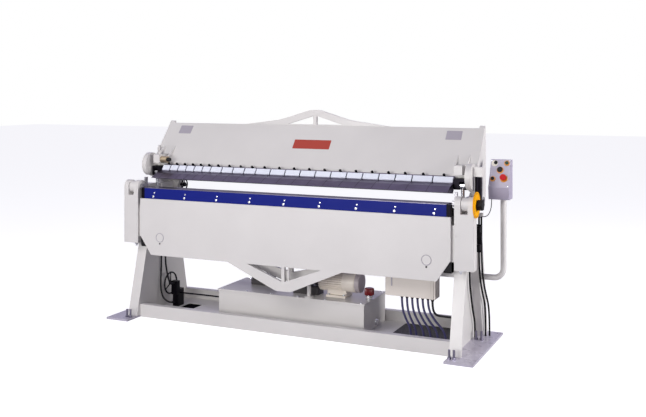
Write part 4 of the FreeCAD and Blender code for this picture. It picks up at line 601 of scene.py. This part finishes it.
def add_finger_screws():
    """The bright plate over each finger, a dark strip of painted shade in the gap between two, and a black
    screw above it.
    """
    low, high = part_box("finger_plates")
    lean, out = np.array(FACE_UP), np.array(FACE_OUT)
    length, thick, gap = 47, 12, 8
    top = np.array((0, low[1] / MM + length * lean[1], high[2] / MM)) - thick * out
    screws, plates, gap_shades = [], [], []
    for left, right in finger_edges():
        width = right - left
        middle = top - length / 2 * lean + np.array(((left + right) / 2, 0, 0))
        plates.append(plate(width - gap, length, thick, 1.5, middle, FACE_OUT, edge=1.2))
        joint = middle + np.array((width / 2, 0, 0))
        # Painted shade: a dark steel strip behind each gap between two plates, where the gap lies in shadow
        gap_shades.append(plate(gap + 2, length - 1, 2, 0.5, joint, FACE_OUT))
        x = left + 24 + 0.35 * width
        screws.append(socket_screw(10, 20, top + 11 * lean + np.array((x, 0, 0)), FACE_OUT))
    piece("clamp_plates", plates, MATERIALS["bright_plate"], "clamp_beam",
          node="finger_plates")
    piece("plate_gap_shades", gap_shades[:-1], MATERIALS["dark_steel"], "clamp_beam")
    piece("finger_screws", screws, MATERIALS["dark_steel"], "clamp_beam")


def add_beam_plates():
    """The bare nameplate with its raised field in the middle, and a small bare plate near each end."""
    middle = on_face(28, 1371)
    rim = plate(312, 84, 2.5, 4, middle, FACE_OUT)
    field = plate(300, 72, 3.1, 3, middle, FACE_OUT)
    piece("bare_nameplate", [rim], EXTRA["red_plate"], "clamp_beam")
    piece("nameplate_field", [field], EXTRA["red_plate"], "clamp_beam")
    small = [plate(118, 80, 1.6, 3, on_face(x, 1462), FACE_OUT) for x in (-1172, 1144)]
    piece("bare_end_plates", small, EXTRA["pale_plate"], "clamp_beam")


GUSSET_COLUMNS = (-1302, -1206, 1206, 1292)
GUSSET_HALF = 5


def add_gussets():
    """Triangular stiffeners welded square to the beam's face, over the blocks at its ends."""
    foot, tip, reach, drop = 1258, 1330, 62, 6
    fins = []
    for x in GUSSET_COLUMNS:
        fin = np.array([on_face(x, foot), on_face(x, tip), on_face(x, foot) - (0, reach, drop)])
        fins.append((np.array([fin - (GUSSET_HALF, 0, 0), fin + (GUSSET_HALF, 0, 0)]), False))
    piece("end_gussets", fins, MATERIALS["machine_paint"], "clamp_beam")


APRON_FACE = -12
ROUND_PLATE = 34


def add_round_plates():
    """A bare round plate with a raised rim near each end of the apron, and a screw below it."""
    plates, rims, screws = [], [], []
    line = circle(ROUND_PLATE, 64)
    line = np.column_stack([line[:, 0], np.full(64, -2.0), line[:, 1]])
    for x in (-1080, 1096):
        middle = spot(x, APRON_FACE, 637)
        plates.append(stacked(circle(ROUND_PLATE, 48), [(0, 0), (0, 2)], middle))
        rims.append(ring_tube(middle + line, 2.2, FRONT))
        screws.append(socket_screw(6, 4, spot(x, APRON_FACE, 590)))
    piece("round_plates", plates, MATERIALS["machine_paint"], "apron")
    piece("round_plate_rims", rims, EXTRA["pale_plate"], "apron")
    piece("apron_screws", screws, MATERIALS["dark_steel"], "apron")


# Tank, motor, pump, pan and electrical box

TANK_TOP = 243
FILLER = (545, 330)
LID_COLUMNS = (-620, -407, -196, 30, 250, 540)
LID_ROWS = (178, 598)
MOTOR_FEET = (238, 358)
PUMP = (45, 330)


def add_tank_screws():
    """Lid screws, the motor's foot bolts and the drain plug."""
    bolts = []
    for depth in LID_ROWS:
        for x in LID_COLUMNS:
            bolts += hex_bolt(13, 7, spot(x, depth, TANK_TOP), UP)
    for x in MOTOR_FEET:
        bolts += hex_bolt(16, 9, spot(x, 284, TANK_TOP + 16), UP)
    piece("tank_bolts", bolts, EXTRA["bolt_steel"], "frame")
    drain = hex_bolt(34, 16, spot(566, 413, 58), RIGHT, BACK)
    piece("drain_plug", drain, EXTRA["bolt_steel"], "frame")


def add_fan_cover():
    """The cap over the motor's right end, in a darker copy of the motor's enamel: painted shade on the end
    that faces right.
    """
    levels = [(1, -1), (0, 0), (0, 34), (3, 36), (20, 36.5)]
    fan = stacked(circle(73, 48), levels, spot(447, 340, 355), RIGHT, BACK)
    piece("fan_cover", [fan], EXTRA["fan_shade_enamel"], "frame")


def add_pan_covers():
    """A plate in the left opening of the pan, and a black mat around the right one: the photo shows no
    opening at the left and a larger one at the right. The mat is painted shadow, a dark sheet where the well
    around the opening lies in shade."""
    cover = plate(208, 218, 5, 1, spot(-876, 346, 15.5), UP)
    piece("hatch_cover", [cover], MATERIALS["machine_paint"], "frame")
    # Painted shadow: a black rubber sheet laid around the right opening, standing for the dark well below it
    mat = plate(520, 352, 1.7, 20, spot(998, 422, 20.8), UP)
    piece("painted_shadow_sheet", [mat], MATERIALS["hose_rubber"], "frame")


def add_pump_saddle():
    """The cast block that the pump stands on, and its neck."""
    block = plate(210, 110, 62, 8, spot(*PUMP, TANK_TOP), UP, edge=3)
    neck = plate(60, 70, 44, 6, spot(*PUMP, TANK_TOP + 60), UP, edge=2)
    piece("pump_saddle", [block, neck], MATERIALS["pump_iron"], "frame")


def add_filler_neck():
    """The chrome flange and collar of the tank's filler neck."""
    place = spot(*FILLER, TANK_TOP)
    rings = [stacked(circle(30, 40), [(0, 0), (0, 5), (2, 7)], place, UP),
             stacked(circle(27.5, 40), [(0, 18), (0, 30), (1.5, 31.5)], place, UP)]
    piece("filler_neck_rings", rings, MATERIALS["rod_chrome"], "frame")


def add_fitting_cap():
    """The black cap over the free end of the brass fitting."""
    low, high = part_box("brass_fitting")
    middle = ((low[1] + high[1]) / 2 / MM, (low[2] + high[2]) / 2 / MM)
    length = 34
    place = np.array((high[0] / MM - length, *middle))
    cap = stacked(circle(17, 28), [(0, 0), (0, length - 8), (5, length + 0.5)], place, RIGHT, BACK)
    piece("fitting_cap", [cap], MATERIALS["black_plastic"], "clamp_beam")


RIDGES = 36
RIDGE_STEPS = 144
RIDGE_RADIUS = 34.6
RIDGE_RISE = 1.2


def add_filler_cap():
    """A knurled cap: at the angle t its radius is RIDGE_RADIUS plus RIDGE_RISE times the cosine of RIDGES
    times t."""
    turn = np.arange(RIDGE_STEPS) * 2 * math.pi / RIDGE_STEPS
    radius = RIDGE_RADIUS + RIDGE_RISE * np.cos(RIDGES * turn)
    outline = radius[:, None] * np.column_stack([np.cos(turn), np.sin(turn)])
    low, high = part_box("filler_cap")
    height = (high[2] - low[2]) / MM
    place = spot(*FILLER, low[2] / MM)
    skirt = stacked(outline, [(1, 0), (0, 2), (0, height - 8), (2.5, height - 4)], place, UP)
    crown = stacked(circle(32, 48), [(0, height - 5), (2, height - 2), (8, height - 0.4),
                                     (20, height - 0.1)], place, UP)
    piece("knurled_cap", [skirt, crown], MATERIALS["cap_plastic"], "filler_cap",
          node="filler_cap")


BOX_FACE = 100


def add_box_details():
    """The door of the electrical box with its latch, and a hexagon nut around each conduit's gland."""
    door = plate(336, 156, 3, 3, spot(926, BOX_FACE, 424))
    strip = plate(14, 160, 6, 2, spot(1104, BOX_FACE, 423))
    piece("box_door", [door, strip], MATERIALS["box_paint"], "frame")
    latch = plate(9, 82, 6, 2, spot(806, BOX_FACE, 455))
    piece("box_latch", [latch], EXTRA["pale_plate"], "frame")
    nuts = []
    for _, points in CONDUITS.values():
        place = spot(*points[0])
        nuts.append(stacked(hexagon(27), [(1, 0.5), (0, 1.5), (0, 8), (1, 9)], place, UP))
        nuts.append(stacked(circle(10.5, 24), [(1.5, -9), (0, -7), (0, 0.5)], place, UP))
    piece("gland_nuts", nuts, MATERIALS["black_plastic"], "frame")


# Handwheels and console

HUB_LEVELS = ((1, -9), (0, -7.5), (0, 7.5), (1, 9))
SHAFT_INSET = 8
SPOKES = 3


def handwheel(name, node, centre, radius, rim, hub_radius, slot):
    """A torus rim on three tapering spokes, with a stepped hub on a shaft as long as the CAD node."""
    low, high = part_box(node)
    turn = np.arange(64) * 2 * math.pi / 64
    ring = np.column_stack([np.zeros(64), np.cos(turn), np.sin(turn)]) * (radius - rim)
    parts = [ring_tube(centre + ring, rim, RIGHT, sides=14)]
    for spoke in range(SPOKES):
        angle = math.pi / 2 + spoke * 2 * math.pi / SPOKES
        out = (0, math.cos(angle), math.sin(angle))
        levels = [(0, hub_radius * 0.7), (rim * 0.2, radius - rim)]
        parts.append(stacked(circle(rim * 0.78, 14), levels, centre, out, RIGHT))
    parts.append(stacked(circle(hub_radius, 28), HUB_LEVELS, centre, RIGHT, BACK))
    left, right = low[0] / MM - centre[0], high[0] / MM - centre[0]
    levels = [(0.5, left), (0, left + 1), (0, right - 1), (0.5, right)]
    parts.append(stacked(circle(hub_radius - SHAFT_INSET, 24), levels, centre, RIGHT, BACK))
    piece(name, parts, MATERIALS[slot], node, node=node)


def add_handwheels():
    handwheel("setback_wheel", "setback_handwheel", spot(-1190, 500, 1000), 47, 5.5, 18, "dark_steel")
    handwheel("valve_wheel", "valve_handwheel", spot(-1206, 320, 208), 92, 6.5, 16, "black_plastic")


PANEL_FOOT = (360, 1110)
PANEL_LEAN = math.radians(22.8)
PANEL_OUT = (0, -math.cos(PANEL_LEAN), math.sin(PANEL_LEAN))
PANEL_UP = np.array((0, math.sin(PANEL_LEAN), math.cos(PANEL_LEAN)))
# X, place up the panel and collar radius of the buttons; the selector's ring is paler than theirs
BUTTONS = ((1546, 181, 20), (1503, 129, 25), (1457, 63, 20), (1534, 68, 27))
SELECTOR = (1460, 178)
COLLAR_LEVELS = ((0, 0), (0, 2.2), (1.2, 3.4), (3.2, 3.4))
PANEL_SCREW_COLUMNS = (1438, 1567)
PANEL_SCREW_ROWS = (12, 198)


def on_panel(x, along):
    """The place on the console's panel, this far up from its foot."""
    return spot(x, *PANEL_FOOT) + along * PANEL_UP


def add_console_details():
    """Amber collars around the buttons, a pale one around the selector, and a screw in each corner."""
    collars = [stacked(circle(radius, 40), COLLAR_LEVELS, on_panel(x, along), PANEL_OUT)
               for x, along, radius in BUTTONS]
    piece("control_collars", collars, EXTRA["amber_ring"], "frame")
    ring = stacked(circle(23, 40), COLLAR_LEVELS, on_panel(*SELECTOR), PANEL_OUT)
    piece("selector_ring", [ring], EXTRA["pale_ring"], "frame")
    screws = [socket_screw(3.4, 2.2, on_panel(x, along), PANEL_OUT)
              for x in PANEL_SCREW_COLUMNS for along in PANEL_SCREW_ROWS]
    piece("panel_screws", screws, EXTRA["bolt_steel"], "frame")


MARKS = 72
MARK_RADIUS = 84


def add_dial_marks():
    """Tick marks around the dial's rim, every 5 degrees and longer every 15, with no figures."""
    marks = []
    _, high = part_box("angle_dial")
    centre = spot(0, 43, 1022)
    centre[0] = high[0] / MM
    for step in range(MARKS):
        angle = math.radians(360 / MARKS * step)
        length = 15 if step % 3 == 0 else 8
        out = np.array((0, math.cos(angle), math.sin(angle)))
        marks.append(stacked(rounded(1.6, length, 0.5, 3), [(0, 0), (0, 0.35), (0.2, 0.4)],
                             centre + out * (MARK_RADIUS - length / 2), RIGHT, np.cross(out, RIGHT)))
    piece("dial_marks", marks, EXTRA["engraving"], "apron")


# Floor, backdrop and light; places in metres

FLOOR_HALF = 30
FLOOR_GLOW = 0.84
FLOOR_COLOUR = (0.62, 0.62, 0.65, 1)
SHADE_COLOUR = (0.012, 0.012, 0.016, 1)
# The shade under the machine: its middle and half width along each axis, and how softly it ends
SHADE_PLACE = (("X", 0, 1.24), ("Y", 0.07, 0.24))
SHADE_EDGE = 0.05
WHITE = (1, 1, 1, 1)


def add_floor():
    """A wide pale floor that keeps the contact shadows; what the camera sees of it is lifted towards
    white, except in the shade under the machine."""
    half = FLOOR_HALF
    corners = [(-half, -half, 0), (half, -half, 0), (half, half, 0), (-half, half, 0)]
    mesh = bpy.data.meshes.new("floor")
    mesh.from_pydata(corners, [], [(0, 1, 2, 3)])
    material = bpy.data.materials.new("pale_floor")
    material.use_nodes = True
    tree = material.node_tree
    tree.nodes.clear()
    place = add(tree, "SeparateXYZ", {0: add(tree, "TexCoord").outputs["Object"]})
    outside = []
    for axis, middle, half in SHADE_PLACE:
        moved = add(tree, "Math", {0: place.outputs[axis], 1: -middle}, operation="ADD").outputs[0]
        apart = add(tree, "Math", {0: moved}, operation="ABSOLUTE").outputs[0]
        outside.append(ranged(tree, apart, 0, 1, half - SHADE_EDGE, half + SHADE_EDGE))
    open_floor = add(tree, "Math", {0: outside[0], 1: outside[1]}, operation="MAXIMUM").outputs[0]
    seen = add(tree, "LightPath").outputs["Is Camera Ray"]
    lifted = add(tree, "Math", {0: seen, 1: ranged(tree, open_floor, 0, FLOOR_GLOW, 0, 1)},
                 operation="MULTIPLY").outputs[0]
    colour = blended(tree, open_floor, SHADE_COLOUR, FLOOR_COLOUR)
    matt = add(tree, "BsdfDiffuse", {"Color": colour})
    glow = add(tree, "Emission", {"Color": WHITE, "Strength": lifted})
    both = add(tree, "AddShader", {0: matt.outputs[0], 1: glow.outputs[0]})
    output = add(tree, "OutputMaterial")
    tree.links.new(both.outputs[0], output.inputs["Surface"])
    mesh.materials.append(material)
    floor = bpy.data.objects.new("floor", mesh)
    bpy.context.scene.collection.objects.link(floor)


WORLD_LIGHT = 0.36
SIDE_LIGHT = (0.88, 0.86, 0.95, 1)
TOP_LIGHT = (0.20, 0.18, 0.38, 1)
SHINE_BEHIND = (0.62, 0.58, 0.80, 1)


def add_world():
    """White to the camera. Its light is neutral from the sides and a dim lavender from above, and so is
    what shines in the machine from behind it; what shines from the front is white."""
    world = bpy.data.worlds.new("studio")
    bpy.context.scene.world = world
    world.use_nodes = True
    tree = world.node_tree
    tree.nodes.clear()
    direction = add(tree, "SeparateXYZ", {0: add(tree, "TexCoord").outputs["Generated"]})
    height, ahead = direction.outputs["Z"], direction.outputs["Y"]
    sky = blended(tree, ranged(tree, height, 0, 1, 0.05, 0.8), SIDE_LIGHT, TOP_LIGHT)
    over_floor = ranged(tree, height, 0, 1, 0.01, 0.05)
    behind = add(tree, "Math", {0: over_floor, 1: ranged(tree, ahead, 0, 1, 0.1, 0.5)},
                 operation="MULTIPLY").outputs[0]
    mirrored = blended(tree, behind, WHITE, SHINE_BEHIND)
    light = add(tree, "Background", {"Color": sky, "Strength": WORLD_LIGHT})
    shine = add(tree, "Background", {"Color": mirrored, "Strength": 1.0})
    white = add(tree, "Background", {"Color": WHITE, "Strength": 1.0})
    rays = add(tree, "LightPath").outputs
    inner = add(tree, "MixShader", {0: rays["Is Glossy Ray"], 1: light.outputs[0], 2: shine.outputs[0]})
    mix = add(tree, "MixShader", {0: rays["Is Camera Ray"], 1: inner.outputs[0], 2: white.outputs[0]})
    output = add(tree, "OutputWorld")
    tree.links.new(mix.outputs[0], output.inputs["Surface"])


# Place, what it is aimed at, width and height, power in watts, and colour: a low soft key from the front,
# a softer light above it, and one from the right, low enough that the right side frame shades what stands
# behind it
LAMPS = {
    "key": ((-0.8, -7.0, 1.5), (0, 0, 0.8), (3.6, 2.0), 208, (1.0, 0.99, 0.97)),
    "upper_front": ((-1.0, -5.0, 5.0), (0, 0, 1.0), (3.0, 2.4), 155, (1.0, 0.99, 0.98)),
    "right_side": ((6.6, 0.5, 2.4), (1.2, 0.2, 0.8), (1.6, 1.8), 270, (1.0, 0.99, 0.97)),
}


def add_lamps():
    for name, (place, target, size, power, colour) in LAMPS.items():
        lamp = bpy.data.lights.new(name, "AREA")
        lamp.shape = "RECTANGLE"
        lamp.size, lamp.size_y = size
        lamp.energy = power
        lamp.color = colour
        item = bpy.data.objects.new(name, lamp)
        item.location = place
        aim = np.array(target, float) - np.array(place, float)
        flat = math.hypot(aim[0], aim[1])
        item.rotation_euler = (math.atan2(flat, -aim[2]), 0, math.atan2(aim[1], aim[0]) - math.pi / 2)
        bpy.context.scene.collection.objects.link(item)


add_camera()
add_cords()
dress_nodes()
add_bar_bolts()
add_bed_top()
add_bracket_screws()
add_stop_pads()
add_turnbuckle()
add_finger_screws()
add_nose_gap_shades()
add_beam_plates()
add_gussets()
add_round_plates()
add_tank_screws()
add_fan_cover()
add_pan_covers()
add_pump_saddle()
add_filler_neck()
add_fitting_cap()
add_filler_cap()
add_box_details()
add_handwheels()
add_console_details()
add_dial_marks()
add_floor()
add_world()
add_lamps()
bpy.context.scene.view_settings.view_transform = "Standard"
